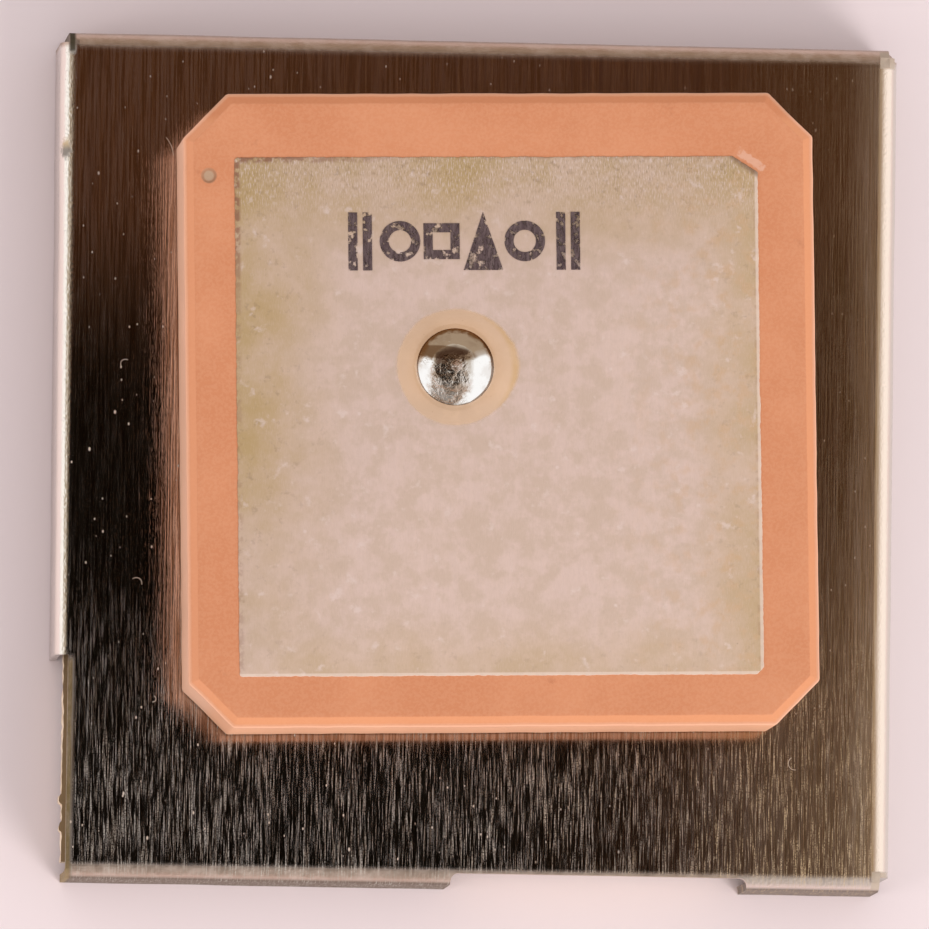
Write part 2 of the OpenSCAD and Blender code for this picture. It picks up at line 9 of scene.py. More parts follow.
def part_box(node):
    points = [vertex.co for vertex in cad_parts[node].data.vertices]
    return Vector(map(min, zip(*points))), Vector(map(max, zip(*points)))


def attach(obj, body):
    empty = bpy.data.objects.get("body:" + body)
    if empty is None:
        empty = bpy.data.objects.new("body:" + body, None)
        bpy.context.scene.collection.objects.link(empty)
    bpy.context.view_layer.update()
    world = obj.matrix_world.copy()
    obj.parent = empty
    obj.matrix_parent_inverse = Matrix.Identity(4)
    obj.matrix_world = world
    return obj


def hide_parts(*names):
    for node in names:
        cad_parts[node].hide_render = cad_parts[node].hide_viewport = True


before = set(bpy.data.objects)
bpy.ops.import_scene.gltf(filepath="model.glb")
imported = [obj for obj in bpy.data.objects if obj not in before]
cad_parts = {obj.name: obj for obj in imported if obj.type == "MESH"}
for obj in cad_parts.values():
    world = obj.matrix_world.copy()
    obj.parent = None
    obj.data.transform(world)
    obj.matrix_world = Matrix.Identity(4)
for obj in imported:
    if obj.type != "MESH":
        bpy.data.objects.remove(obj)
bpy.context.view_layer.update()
mm = 0.001
print("frame loaded")


# camera

cameraView = {
    "distance": 0.63,
    "lean": (-0.085, -0.085),  # how far the view leans to the left and the front, for each unit of height
    "roll": 0.74,  # degrees
    "lens": 614.2,
    "aimRight": -0.433 * mm,  # what the picture's middle shows, from the middle of the can's top
    "aimUp": -0.131 * mm,
}


def placeCamera(values):
    data = bpy.data.cameras.new("photoCamera")
    data.sensor_width = 36
    data.lens = values["lens"]
    data.clip_start = 0.01
    data.clip_end = 20
    back = Vector((values["lean"][0], values["lean"][1], 1)).normalized()
    right = (-back).cross(Vector((0, 1, 0))).normalized()
    up = right.cross(-back)
    turn = Matrix.Rotation(math.radians(values["roll"]), 3, back)
    right, up = turn @ right, turn @ up
    canTop = Vector((0, 0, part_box("shield_can")[1].z))
    place = canTop + right * values["aimRight"] + up * values["aimUp"] + back * values["distance"]
    camera = bpy.data.objects.new("photoCamera", data)
    camera.matrix_world = Matrix(
        (
            (right.x, up.x, back.x, place.x),
            (right.y, up.y, back.y, place.y),
            (right.z, up.z, back.z, place.z),
            (0, 0, 0, 1),
        )
    )
    bpy.context.scene.collection.objects.link(camera)
    bpy.context.scene.camera = camera


placeCamera(cameraView)


# helpers for shader trees


def join(value, socket):
    # gives an input a number, a colour or what another node puts out
    value = getattr(value, "socket", value)
    if isinstance(value, bpy.types.NodeSocket):
        socket.id_data.links.new(value, socket)
    elif socket.type == "RGBA" and len(value) == 3:
        socket.default_value = (*value, 1)
    else:
        socket.default_value = value


def addNode(tree, kind, values=None, **settings):
    node = tree.nodes.new(kind)
    for name, value in settings.items():
        setattr(node, name, value)
    for name, value in (values or {}).items():
        join(value, node.inputs[name])
    return node


def mathNode(operation, *values, clamp=False):
    tree = next(value.socket.id_data for value in values if isinstance(value, Value))
    node = addNode(tree, "ShaderNodeMath", dict(enumerate(values)), operation=operation, use_clamp=clamp)
    return Value(node.outputs[0])


class Value:
    # a number that a node puts out; each sign in a sum with it adds a Math node

    def __init__(self, socket):
        self.socket = socket

    def __add__(self, other):
        return mathNode("ADD", self, other)

    def __sub__(self, other):
        return mathNode("SUBTRACT", self, other)

    def __rsub__(self, other):
        return mathNode("SUBTRACT", other, self)

    def __mul__(self, other):
        return mathNode("MULTIPLY", self, other)

    def __truediv__(self, other):
        return mathNode("DIVIDE", self, other)

    def __pow__(self, other):
        return mathNode("POWER", self, other)

    def __abs__(self):
        return mathNode("ABSOLUTE", self)

    def ramp(self, fromMin, fromMax, toMin=0.0, toMax=1.0, kind="SMOOTHSTEP"):
        limits = {"Value": self, "From Min": fromMin, "From Max": fromMax, "To Min": toMin, "To Max": toMax}
        tree = self.socket.id_data
        return Value(addNode(tree, "ShaderNodeMapRange", limits, interpolation_type=kind).outputs["Result"])

    def share(self, toMin, toMax):
        return self.ramp(0, 1, toMin, toMax)


def most(first, *others):
    for other in others:
        first = mathNode("MAXIMUM", first, other)
    return first


def fromCentre(place):
    return mathNode("SQRT", place.x**2 + place.y**2)


def valuesOf(node):
    return {socket.name: Value(socket) for socket in node.outputs}


def splitAxes(tree, vector):
    split = addNode(tree, "ShaderNodeSeparateXYZ", {0: vector})
    return SimpleNamespace(**{name.lower(): value for name, value in valuesOf(split).items()})


def inUse(sockets, name=None):
    # of the sockets with one name, the one that fits the node's kind of data
    return next(socket for socket in sockets if socket.enabled and name in (None, socket.name))


def mixColour(tree, mask, first, second):
    node = addNode(tree, "ShaderNodeMix", data_type="RGBA")
    for name, value in (("Factor", mask), ("A", first), ("B", second)):
        join(value, inUse(node.inputs, name))
    return inUse(node.outputs)


def blendShaders(tree, factor, first, second, end="Material"):
    blend = addNode(tree, "ShaderNodeMixShader", {0: factor, 1: first.outputs[0], 2: second.outputs[0]})
    addNode(tree, "ShaderNodeOutput" + end, {"Surface": blend.outputs[0]})


def newGroup(name, inputs, outputs):
    # an input without a number is a vector
    tree = bpy.data.node_groups.new(name, "ShaderNodeTree")
    for label, value in inputs.items():
        kind = "NodeSocketVector" if value is None else "NodeSocketFloat"
        socket = tree.interface.new_socket(name=label, in_out="INPUT", socket_type=kind)
        if value is not None:
            socket.default_value = value
    for label in outputs:
        tree.interface.new_socket(name=label, in_out="OUTPUT", socket_type="NodeSocketFloat")
    return tree, valuesOf(tree.nodes.new("NodeGroupInput")), tree.nodes.new("NodeGroupOutput").inputs


# effects that several finishes share


# fine lines along Y, as rolling and brushing leave them
def buildGrain():
    tree, given, made = newGroup(
        "rollingGrain", {"Vector": None, "Across": 9000.0, "Along": 500.0}, ("Lines", "Fine")
    )
    scale = addNode(
        tree, "ShaderNodeCombineXYZ", {"X": given["Across"], "Y": given["Along"], "Z": given["Along"]}
    )
    stretched = addNode(
        tree, "ShaderNodeVectorMath", {0: given["Vector"], 1: scale.outputs[0]}, operation="MULTIPLY"
    )
    for name, size, detail, roughness in (("Lines", 1.0, 4.0, 0.6), ("Fine", 3.1, 2.0, 0.5)):
        values = {"Vector": stretched.outputs[0], "Scale": size, "Detail": detail, "Roughness": roughness}
        join(addNode(tree, "ShaderNodeTexNoise", values).outputs["Fac"], made[name])
    return tree


# cloudy patches with soft or hard borders
def buildCloud():
    inputs = {"Vector": None, "Scale": 300.0, "Detail": 4.0, "Low": 0.45, "High": 0.6}
    tree, given, made = newGroup("cloudyPatches", inputs, ("Mask",))
    values = {name: given[name] for name in ("Vector", "Scale", "Detail")}
    clouds = Value(addNode(tree, "ShaderNodeTexNoise", {**values, "Roughness": 0.6}).outputs["Fac"])
    join(clouds.ramp(given["Low"], given["High"]), made["Mask"])
    return tree


# small round specks scattered over a surface
def buildSpecks():
    inputs = {"Vector": None, "Scale": 900.0, "Size": 0.1, "Share": 0.3}
    tree, given, made = newGroup("smallSpecks", inputs, ("Mask",))
    values = {"Vector": given["Vector"], "Scale": given["Scale"], "Randomness": 1.0}
    cells = addNode(tree, "ShaderNodeTexVoronoi", values)
    near = Value(cells.outputs["Distance"]).ramp(given["Size"] * 0.4, given["Size"], 1, 0)
    pick = addNode(tree, "ShaderNodeSeparateColor", {0: cells.outputs["Color"]})
    join(near * mathNode("LESS_THAN", Value(pick.outputs[0]), given["Share"]), made["Mask"])
    return tree


grainGroup, cloudGroup, speckGroup = buildGrain(), buildCloud(), buildSpecks()


class Finish:
    # a material with its Principled shader, and short ways to the shared effects

    def __init__(self, name, roughness=0.5, metallic=0.0, **fixed):
        self.material = bpy.data.materials.new(name)
        self.material.use_nodes = True
        self.tree = self.material.node_tree
        self.inputs = self.tree.nodes["Principled BSDF"].inputs
        for label, value in {"Roughness": roughness, "Metallic": metallic, **fixed}.items():
            self.inputs[label.replace("_", " ")].default_value = value
        self.place = self.object = addNode(self.tree, "ShaderNodeTexCoord").outputs["Object"]

    def at(self, x=0.0, y=0.0, turn=0.0, scale=(1, 1, 1)):
        values = {
            "Vector": self.object,
            "Location": (x, y, 0),
            "Rotation": (0, 0, math.radians(turn)),
            "Scale": scale,
        }
        return addNode(self.tree, "ShaderNodeMapping", values, vector_type="TEXTURE").outputs[0]

    def effect(self, group, vector, values):
        values["Vector"] = vector or self.place
        return valuesOf(addNode(self.tree, "ShaderNodeGroup", values, node_tree=group))

    def cloud(self, scale, low, high, detail=4.0):
        return self.effect(
            cloudGroup, None, {"Scale": scale, "Low": low, "High": high, "Detail": detail}
        )["Mask"]

    def specks(self, scale, size, share, vector=None):
        return self.effect(speckGroup, vector, {"Scale": scale, "Size": size, "Share": share})["Mask"]

    def grain(self, across, along):
        return self.effect(grainGroup, None, {"Across": across, "Along": along})

    def axes(self, vector=None):
        return splitAxes(self.tree, vector or self.place)

    def mark(self, name):
        return Value(addNode(self.tree, "ShaderNodeAttribute", attribute_name=name).outputs["Fac"])

    def mix(self, mask, first, second):
        return mixColour(self.tree, mask, first, second)

    def colour(self, tone):
        self.tone = tone
        join(tone, self.inputs["Base Color"])

    def paint(self, mask, tone):
        # another tone over the ones so far
        self.colour(self.mix(mask, self.tone, tone))

    def rough(self, value):
        join(value, self.inputs["Roughness"])

    def metal(self, value):
        join(value, self.inputs["Metallic"])

    def bump(self, height, depth, strength=1.0):
        values = {"Height": height, "Distance": depth, "Strength": strength}
        join(addNode(self.tree, "ShaderNodeBump", values).outputs[0], self.inputs["Normal"])


# helpers for meshes


def newPiece(name, bm):
    mesh = bpy.data.meshes.new(name)
    bm.to_mesh(mesh)
    bm.free()
    if "custom_normal" in mesh.attributes:
        mesh.attributes.remove(mesh.attributes["custom_normal"])
    piece = bpy.data.objects.new(name, mesh)
    bpy.context.scene.collection.objects.link(piece)
    return piece


def pieceName(node):
    # the node's name with capitals in place of the underlines
    first, *others = node.split("_")
    return first + "".join(word.capitalize() for word in others)


def settle(piece):
    # turns what the modifiers make into the piece's own mesh
    graph = bpy.context.evaluated_depsgraph_get()
    made = bpy.data.meshes.new_from_object(piece.evaluated_get(graph))
    before = piece.data
    piece.modifiers.clear()
    piece.data = made
    bpy.data.meshes.remove(before)


def finishPiece(piece, finish, nodes, smoothAngle=35):
    piece.data.materials.clear()
    piece.data.materials.append(finish.material)
    for face in piece.data.polygons:
        face.use_smooth = True
    piece.data.set_sharp_from_angle(angle=math.radians(smoothAngle))
    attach(piece, "root")
    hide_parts(*nodes)
    print("made", piece.name, len(piece.data.polygons))


def cadShape(node, flat=True):
    # the node's shape again with its loose triangles joined, so that its edges can be rounded
    bm = bmesh.new()
    bm.from_mesh(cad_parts[node].data)
    bmesh.ops.remove_doubles(bm, verts=bm.verts, dist=1e-7)
    if flat:
        bmesh.ops.dissolve_limit(bm, angle_limit=math.radians(1), verts=bm.verts, edges=bm.edges)
    return bm


def cutAcross(bm, axis, place):
    normal = Vector((0, 0, 0))
    normal[axis] = 1
    everything = bm.verts[:] + bm.edges[:] + bm.faces[:]
    bmesh.ops.bisect_plane(bm, geom=everything, plane_co=normal * place, plane_no=normal, dist=1e-7)


edgeFacts = {"steps": 2, "sharp": 35}  # steps of a rounding, and the least turn of an edge that gets one


def roundedCopy(node, finish, width):
    piece = newPiece(pieceName(node), cadShape(node))
    bevel = piece.modifiers.new("bevel", "BEVEL")
    bevel.width = width
    bevel.segments = edgeFacts["steps"]
    bevel.limit_method = "ANGLE"
    bevel.angle_limit = math.radians(edgeFacts["sharp"])
    bevel.use_clamp_overlap = True
    settle(piece)
    finishPiece(piece, finish, [node])


# points round a polygon with rounded corners, counter-clockwise
def roundedOutline(corners, radius, steps=4):
    points = []
    count = len(corners)
    for index, corner in enumerate(corners):
        here = Vector(corner)
        before = (Vector(corners[index - 1]) - here).normalized()
        after = (Vector(corners[(index + 1) % count]) - here).normalized()
        half = before.angle(after) / 2
        centre = here + (before + after).normalized() * radius / math.sin(half)
        run = radius / math.tan(half)
        start = here + before * run - centre
        sweep = math.pi - 2 * half
        for step in range(steps + 1):
            points.append(centre + Matrix.Rotation(sweep * step / steps, 2) @ start)
    return points


# more points along the long sides of an outline, as many as another outline needs
def finerOutline(points, spacing, like=None):
    like = like or points
    finer = []
    for index, point in enumerate(points):
        after = (index + 1) % len(points)
        parts = max(1, round((like[after] - like[index]).length / spacing))
        finer += [point.lerp(points[after], part / parts) for part in range(parts)]
    return finer


def ringPoints(centre, radius, count):
    return [
        Vector((centre[0] + radius * math.cos(a), centre[1] + radius * math.sin(a)))
        for a in (2 * math.pi * step / count for step in range(count))
    ]


def addRing(bm, points, height):
    return [bm.verts.new((point.x, point.y, height)) for point in points]


def addWall(bm, lower, upper):
    count = len(lower)
    for index in range(count):
        after = (index + 1) % count
        bm.faces.new((lower[index], lower[after], upper[after], upper[index]))


def addWalls(bm, rings):
    for lower, upper in zip(rings, rings[1:]):
        addWall(bm, lower, upper)


def capEnds(bm, rings):
    # a bar through rings of corners
    addWalls(bm, rings)
    bm.faces.new(rings[0])
    bm.faces.new(rings[-1])
    return bm


def addLid(bm, *rings):
    # fills the plane between an outer ring and the holes in it
    edges = []
    for ring in rings:
        for index in range(len(ring)):
            pair = (ring[index - 1], ring[index])
            edges.append(bm.edges.get(pair) or bm.edges.new(pair))
    bmesh.ops.triangle_fill(bm, use_beauty=True, use_dissolve=False, edges=edges)


def closedPiece(name, bm):
    bmesh.ops.remove_doubles(bm, verts=bm.verts, dist=1e-8)
    bmesh.ops.recalc_face_normals(bm, faces=bm.faces)
    return newPiece(name, bm)


def boredPiece(name, bm, rings, radius, count, low, high):
    # walls through the rings and round a hole at the feed pin, with a lid at each end
    hole = ringPoints(feedAt, radius, count)
    holeTop, holeBottom = addRing(bm, hole, high), addRing(bm, hole, low)
    addWalls(bm, rings)
    addWall(bm, holeTop, holeBottom)
    addLid(bm, rings[-1], holeTop)
    addLid(bm, rings[0], holeBottom)
    return closedPiece(name, bm)


def wander(point, size, amount, seed=0.0):
    # a small sideways wandering of an edge, the same each run
    place = Vector((point[0], point[1], seed)) / size
    return Vector((noise.noise(place), noise.noise(place + Vector((31.7, 5.1, 2.3))))) * amount


def middle(node):
    low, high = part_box(node)
    return (low + high) / 2


feedAt = middle("feed_pin")
blockAt = middle("ceramic_block")
canLow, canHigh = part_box("shield_can")


# tinplate can

canFacts = {
    # corners where the flanges stop short, and by how much
    "notches": (
        ((-1, 1), (0.36 * mm, 0.43 * mm)),
        ((1, 1), (0.12 * mm, 0.50 * mm)),
        ((1, -1), (0.40 * mm, 0.58 * mm)),
    ),
    "fold": 0.75 * mm,  # outside radius of the folds
    "support": 0.05 * mm,  # how far inside the folds the top is cut once more
    "step": 0.5 * mm,  # between the cuts that let the edges wander
    "stepsOut": 30,
    "lean": 0.16 * mm,  # how far the left flange comes in towards the front
    "wave": 0.035 * mm,
    "waveSize": 3.5 * mm,
    "rag": 0.05 * mm,  # of the sheared feet, up to the height that follows
    "ragSize": 0.5 * mm,
    "ragBelow": 0.2 * mm,
}


def makeCan(facts):
    bm = cadShape("shield_can")
    for axis, reach in ((0, canHigh.x), (1, canHigh.y)):
        inner = reach - facts["fold"] - facts["support"]
        cuts = [-inner, inner] + [
            step * facts["step"] for step in range(-facts["stepsOut"], facts["stepsOut"] + 1)
        ]
        cuts += [way[axis] * (reach - gap[axis]) for way, gap in facts["notches"]]
        for cut in cuts:
            cutAcross(bm, axis, cut)
    for vert in bm.verts:
        spot = vert.co.copy()
        outX = max(0, abs(spot.x) - (canHigh.x - facts["fold"])) / facts["fold"]
        outY = max(0, abs(spot.y) - (canHigh.y - facts["fold"])) / facts["fold"]
        low = min(1, max(0, (canHigh.z - spot.z) / facts["fold"]))
        drift = wander((spot.x, spot.y), facts["waveSize"], facts["wave"], 1)
        inward = abs(drift.x) * low
        if outX > 0:
            vert.co.x -= math.copysign(inward * outX, spot.x)
            if spot.x < 0:
                vert.co.x += facts["lean"] * outX * (canHigh.y - spot.y) / (2 * canHigh.y)
        if outY > 0:
            vert.co.y -= math.copysign(inward * outY, spot.y)
        for way, gap in facts["notches"]:
            inner = [way[axis] * (canHigh[axis] - gap[axis]) for axis in (0, 1)]
            if all(way[axis] * (spot[axis] - inner[axis]) > 1e-6 for axis in (0, 1)):
                vert.co.x, vert.co.y = inner
        if spot.z < facts["ragBelow"]:
            vert.co.z += abs(wander((spot.x, spot.y), facts["ragSize"], facts["rag"], 4).x)
    return closedPiece("tinCan", bm)


tinCan = makeCan(canFacts)


tinplateFacts = {
    "clean": (0.90, 0.79, 0.73),
    # dull film of the end flanges, with painted shade of their dimmer reflections
    "tarnishAndShade": (0.60, 0.46, 0.375),
    "groove": (0.50, 0.36, 0.27),
    # tones of the side folds with painted reflection: lighter than the flat, warmer on the right, greyer near
    # the right fold's top; darker at the left flange's foot
    "side": (0.97, 0.90, 0.82),
    "sideFoot": (0.62, 0.52, 0.46),
    "rightEdgeReflection": (0.76, 0.74, 0.67),
    "rightSideReflection": (0.98, 0.82, 0.70),
    # painted shade at the feet of the end flanges and in front of the ceramic block
    "foot": (0.11, 0.078, 0.057),
    # brown of the streaks, partly painted reflection
    "brown": (0.30, 0.13, 0.065),
    "scratch": (0.58, 0.55, 0.485),
    "warmScratch": (0.66, 0.50, 0.31),
    "dust": (0.66, 0.55, 0.46),
    "joint": (0.52, 0.43, 0.34),
    "burr": (0.33, 0.24, 0.12),
    "yellowed": (0.62, 0.46, 0.25),
    "stainTones": ((0.05, 0.03, 0.015), (0.55, 0.36, 0.12)),
    "dirt": (0.045, 0.035, 0.015),
    # bits of lint: where, how long a curl's radius is, its turn, and how little of the curl is left out
    "lint": (
        (-13.40 * mm, 11.87 * mm, 1.20 * mm, 22.7, 0.945),
        (-13.43 * mm, -5.12 * mm, 0.22 * mm, 60, 0.3),
        (-12.70 * mm, -9.71 * mm, 0.12 * mm, -20, 0.1),
        (-14.0 * mm, 3.6 * mm, 0.18 * mm, 140, 0.1),
        (12.9 * mm, -11.8 * mm, 0.26 * mm, 200, 0.2),
    ),
    "lintWidth": 0.014 * mm,
    "stainAt": (-16.46 * mm, 12.15 * mm),
    "stainSize": (0.22 * mm, 0.46 * mm, 1),
}


def tinplateFinish(facts):
    tin = Finish("tinplateFinish", roughness=0.16, metallic=1.0, Specular_IOR_Level=0.1)
    spot = tin.axes()
    across, along = abs(spot.x), abs(spot.y)
    foldX, foldY = canHigh.x - canFacts["fold"], canHigh.y - canFacts["fold"]
    onEnds = along.ramp(foldY + 0.05 * mm, foldY + 0.3 * mm)
    onSides = across.ramp(foldX + 0.05 * mm, foldX + 0.25 * mm)
    onFlat = 1 - most(onEnds, onSides)
    lines = tin.grain(13000, 300)
    wide = tin.grain(6000, 160)
    dashes = tin.grain(26000, 900)
    # dull film on the end flanges, less on the front tab, with painted shade for their dimmer reflections
    mottle = tin.cloud(1900, 0.3, 0.75)
    tab = spot.x.ramp(10.2 * mm, 11.2 * mm) * spot.y.ramp(-1.0 * mm, -2.0 * mm)
    dull = onEnds * mottle.share(1, 0.8) * tab.share(1, 0.15)
    grooves = lines["Lines"].ramp(0.56, 0.42) * onFlat
    grooves *= spot.y.ramp(13 * mm, 2 * mm, 0.75, 1)
    tin.colour(tin.mix(grooves, facts["clean"], facts["groove"]))
    # painted reflection: the side folds lighter than the flat, warmer on the right
    leftSide = spot.x.ramp(0, -1.0 * mm)
    tin.paint(onSides, tin.mix(leftSide, facts["rightSideReflection"], facts["side"]))
    # the wall of the left flange darkens towards its foot
    shade = onSides * leftSide * spot.z.ramp(2.9 * mm, 0.3 * mm)
    tin.paint(shade, facts["sideFoot"])
    # painted reflection: a greyer band on the upper part of the right fold
    brinkReflection = spot.x.ramp(foldX + 0.2 * mm, foldX + 0.45 * mm) * spot.z.ramp(3.6 * mm, 3.35 * mm)
    tin.paint(brinkReflection, facts["rightEdgeReflection"])
    # painted shade of the end flanges' dimmer reflections, over their dull film
    tin.paint(dull, facts["tarnishAndShade"])
    # brown streaks, mostly towards the back and the right, partly painted brown reflection
    brownStreakAndReflectionArea = most(spot.y.ramp(3 * mm, 13 * mm), spot.x.ramp(4 * mm, 15 * mm))
    streaks = lines["Lines"] * 0.6 + wide["Lines"] * 0.4
    stripes = streaks.ramp(0.42, 0.64) * brownStreakAndReflectionArea * onFlat
    # short bright scratches of the rolling, mostly towards the front
    worn = spot.y.ramp(-3 * mm, -14 * mm, 0.06, 1)
    patches = tin.cloud(420, 0.3, 0.7, 3)
    dotted = tin.cloud(20000, 0.32, 0.62, 1)
    hatch = dashes["Lines"].ramp(0.49, 0.65) * (worn * patches.share(0.55, 1))
    hatch *= dotted.share(0.2, 0.95)
    hatch *= 1 - onSides
    # dust and grit, with a few bits of lint
    drawnOut = tin.at(scale=(1, 1.7, 1))
    specks = most(tin.specks(1300, 0.08, 0.75, drawnOut), tin.specks(3100, 0.13, 0.35, drawnOut))
    specks *= spot.x.ramp(-2 * mm, 6 * mm, 0.95, 0.35)
    specks *= spot.y.ramp(8 * mm, 0, 0.6, 1)
    for x, y, radius, turn, least in facts["lint"]:
        curl = tin.axes(tin.at(x, y, turn, (radius, radius, 1)))
        width = facts["lintWidth"] / radius
        fibre = abs(fromCentre(curl) - 1).ramp(width, width * 0.5)
        specks = most(specks, fibre * 0.9 * mathNode("GREATER_THAN", curl.x, least))
    specks *= onFlat
    pebble = tin.cloud(7500, 0.3, 0.7, 2)
    # a stain on the left fold, painted shade in the seam at the back left corner, darker at the front right
    # corner, and brown burr beside the missing flange
    stain = tin.axes(tin.at(*facts["stainAt"], 0, facts["stainSize"]))
    stained = (fromCentre(stain) + pebble * 0.35).ramp(1.35, 0.6)
    stainTone = tin.mix(stain.y.ramp(-0.2, 0.6), *facts["stainTones"])
    seam = abs(spot.x + (foldX + 0.27 * mm))
    corner = seam.ramp(0.2 * mm, 0.06 * mm, 0, 0.95) * spot.y.ramp(foldY - 0.25 * mm, foldY + 0.05 * mm)
    heel = spot.x.ramp(foldX + 0.35 * mm, foldX + 0.5 * mm)
    heel *= spot.y.ramp(-foldY - 0.26 * mm, -foldY - 0.36 * mm)
    burr = spot.x.ramp(-foldX + 0.26 * mm, -foldX + 0.02 * mm) * spot.y.ramp(-7.9 * mm, -8.3 * mm)
    dirt = most(corner, heel, burr * mottle.share(0.85, 1))
    # the walls of the end flanges stand in the floor's shade
    low = spot.z.ramp(canHigh.z - 0.28 * mm, canHigh.z - 0.52 * mm)
    foot = low * (onEnds * spot.y.ramp(-1.0 * mm, 1.0 * mm, 0.85, 0.35))
    # painted shade: a dark band on the top just in front of the ceramic block
    before = spot.y.ramp(-11.6 * mm, -11.1 * mm) * spot.y.ramp(-8.0 * mm, -10.4 * mm)
    before *= across.ramp(12.0 * mm, 11.0 * mm, 0, 0.5)
    tin.paint(before, facts["foot"])
    tin.paint(foot, facts["foot"])
    # the brown streaks, partly painted reflection
    tin.paint(stripes * spot.x.ramp(-12 * mm, 12 * mm, 0.3, 0.8), facts["brown"])
    yellowed = spot.x.ramp(6 * mm, 14 * mm, 0, 0.45) * onFlat
    tin.paint(yellowed, facts["yellowed"])
    tin.paint(hatch, tin.mix(spot.x.ramp(-2 * mm, 12 * mm), facts["scratch"], facts["warmScratch"]))
    # the joints of the end flanges and the right flange are dull
    joint = spot.x.ramp(foldX - 0.02 * mm, foldX + 0.06 * mm) * along.ramp(foldY - 0.1 * mm, foldY)
    joint *= spot.z.ramp(canHigh.z - 0.5 * mm, canHigh.z - 0.3 * mm, 0, 0.85)
    tin.paint(joint, facts["joint"])
    # painted shade in the corner seam, darker at the front right corner, and the burr
    tin.paint(dirt, tin.mix(burr, facts["dirt"], facts["burr"]))
    tin.paint(stained * 0.7, stainTone)
    tin.paint(specks, facts["dust"])
    film = stripes * 0.03 + hatch * 0.64
    # a thin haze beside the right fold and over the front right
    haze = spot.x.ramp(6 * mm, 13 * mm) * spot.y.ramp(2 * mm, -8 * mm, 0, 0.05)
    film += haze + spot.x.ramp(14.6 * mm, 16 * mm, 0, 0.10)
    film = film + dull * mottle.share(0.1, 0.35)
    film = most(film, most(specks * 0.85, most(corner, heel, most(joint, burr * 0.5))))
    film = most(film, most(stained * 0.65, foot * 0.9))
    tin.metal(mathNode("SUBTRACT", 1, film, clamp=True))
    rough = dashes["Fine"].ramp(0.3, 0.7, 0.07, 0.12) + onEnds * 0.22
    tin.rough(rough + film * 0.35)
    ridges = lines["Lines"] + dashes["Fine"] * 0.2
    ridges *= spot.x.ramp(-11.5 * mm, -7 * mm, 1, 0.3)
    ridges = ridges + pebble * (most(onSides, onEnds) * 0.9)
    tin.bump(ridges, 0.0000065)
    return tin


finishPiece(tinCan, tinplateFinish(tinplateFacts), ["shield_can"], smoothAngle=30)


# ceramic block

blockFacts = {
    "width": 25.0 * mm,
    "stretch": 1.0045,  # from front to back
    "turn": 1.4,
    "corner": 1.75 * mm,  # taken off each side at a corner
    "cornerRound": 0.22 * mm,
    "land": 0.45 * mm,  # sloping land round the top
    "fall": 0.14 * mm,
    "rim": 0.18 * mm,
    "foot": 0.06 * mm,
    "spacing": 0.4 * mm,
    "wander": 0.035 * mm,
    "wanderSize": 1.8 * mm,
    "bore": 1.2 * mm,
    "dimpleAt": (1.0 * mm, 3.2 * mm),  # from the left side and from the back
    "dimple": 0.56 * mm,
    "dimpleDeep": 0.06 * mm,
    "bowl": ((1.12, 0), (1.0, 0.25), (0.85, 0.8), (0.45, 1.0)),  # shares of the dimple's radius and depth
    "steps": {"bore": 40, "dimple": 24, "rim": 4},
    "scrapedAt": (10.44 * mm, 11.81 * mm),
    "scrapedTurn": -34,
}
blockTurn = Matrix.Rotation(math.radians(blockFacts["turn"]), 2)
blockMiddle = Vector(blockAt[:2])


def onBlock(point):
    # from the block's own axes to the can's
    return blockMiddle + blockTurn @ Vector(point)


def dimplePlace(facts):
    half = facts["width"] / 2
    return onBlock((facts["dimpleAt"][0] - half, half - facts["dimpleAt"][1]))


def cutCorners(half, corner):
    short = half - corner
    return [
        (half, -short), (half, short), (short, half), (-short, half),
        (-half, short), (-half, -short), (-short, -half), (short, -half),
    ]


def blockOutline(facts, inset):
    half = facts["width"] / 2
    outside = roundedOutline(cutCorners(half, facts["corner"]), facts["cornerRound"])
    corner = facts["corner"] - inset * (2 - math.sqrt(2))
    rounded = max(facts["cornerRound"] - inset * 0.4, 0.05 * mm)
    inside = roundedOutline(cutCorners(half - inset, corner), rounded)
    outline = finerOutline(inside, facts["spacing"], outside)
    placed = []
    for point in outline:
        drift = wander(point, facts["wanderSize"], facts["wander"], 7)
        inward = -point.normalized() * abs(drift.x)
        point += inward
        placed.append(onBlock((point.x, point.y * facts["stretch"])))
    return placed


def makeBlock(facts):
    bm = bmesh.new()
    low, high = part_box("ceramic_block")
    bottom, top = low.z, high.z
    brow = top - facts["fall"] - facts["rim"] * 0.35
    foot = facts["foot"]
    profile = [(foot, bottom), (0, bottom + foot), (0, (bottom + brow) / 2), (0, brow - 0.1 * mm)]
    rim, land = facts["rim"], facts["land"]
    for step in range(facts["steps"]["rim"] + 1):
        turn = math.pi / 2 * step / facts["steps"]["rim"]
        profile.append((rim * 0.6 * (1 - math.cos(turn)), brow + rim * 0.35 * math.sin(turn)))
    profile += [(land * 0.9, top - 0.012 * mm), (land * 1.15, top), (land * 1.5, top)]
    rings = [addRing(bm, blockOutline(facts, inset), height) for inset, height in profile]
    addWalls(bm, rings)
    bore = ringPoints(feedAt, facts["bore"] / 2, facts["steps"]["bore"])
    boreTop, boreBottom = addRing(bm, bore, top), addRing(bm, bore, bottom)
    addWall(bm, boreTop, boreBottom)
    bowlRings = []
    for reach, deep in facts["bowl"]:
        points = ringPoints(dimplePlace(facts), facts["dimple"] / 2 * reach, facts["steps"]["dimple"])
        bowlRings.append(addRing(bm, points, top - facts["dimpleDeep"] * deep))
    addWalls(bm, bowlRings)
    addLid(bm, bowlRings[-1])
    addLid(bm, rings[-1], boreTop, bowlRings[0])
    addLid(bm, rings[0], boreBottom)
    return closedPiece("ceramicBlock", bm)


ceramicBlock = makeBlock(blockFacts)


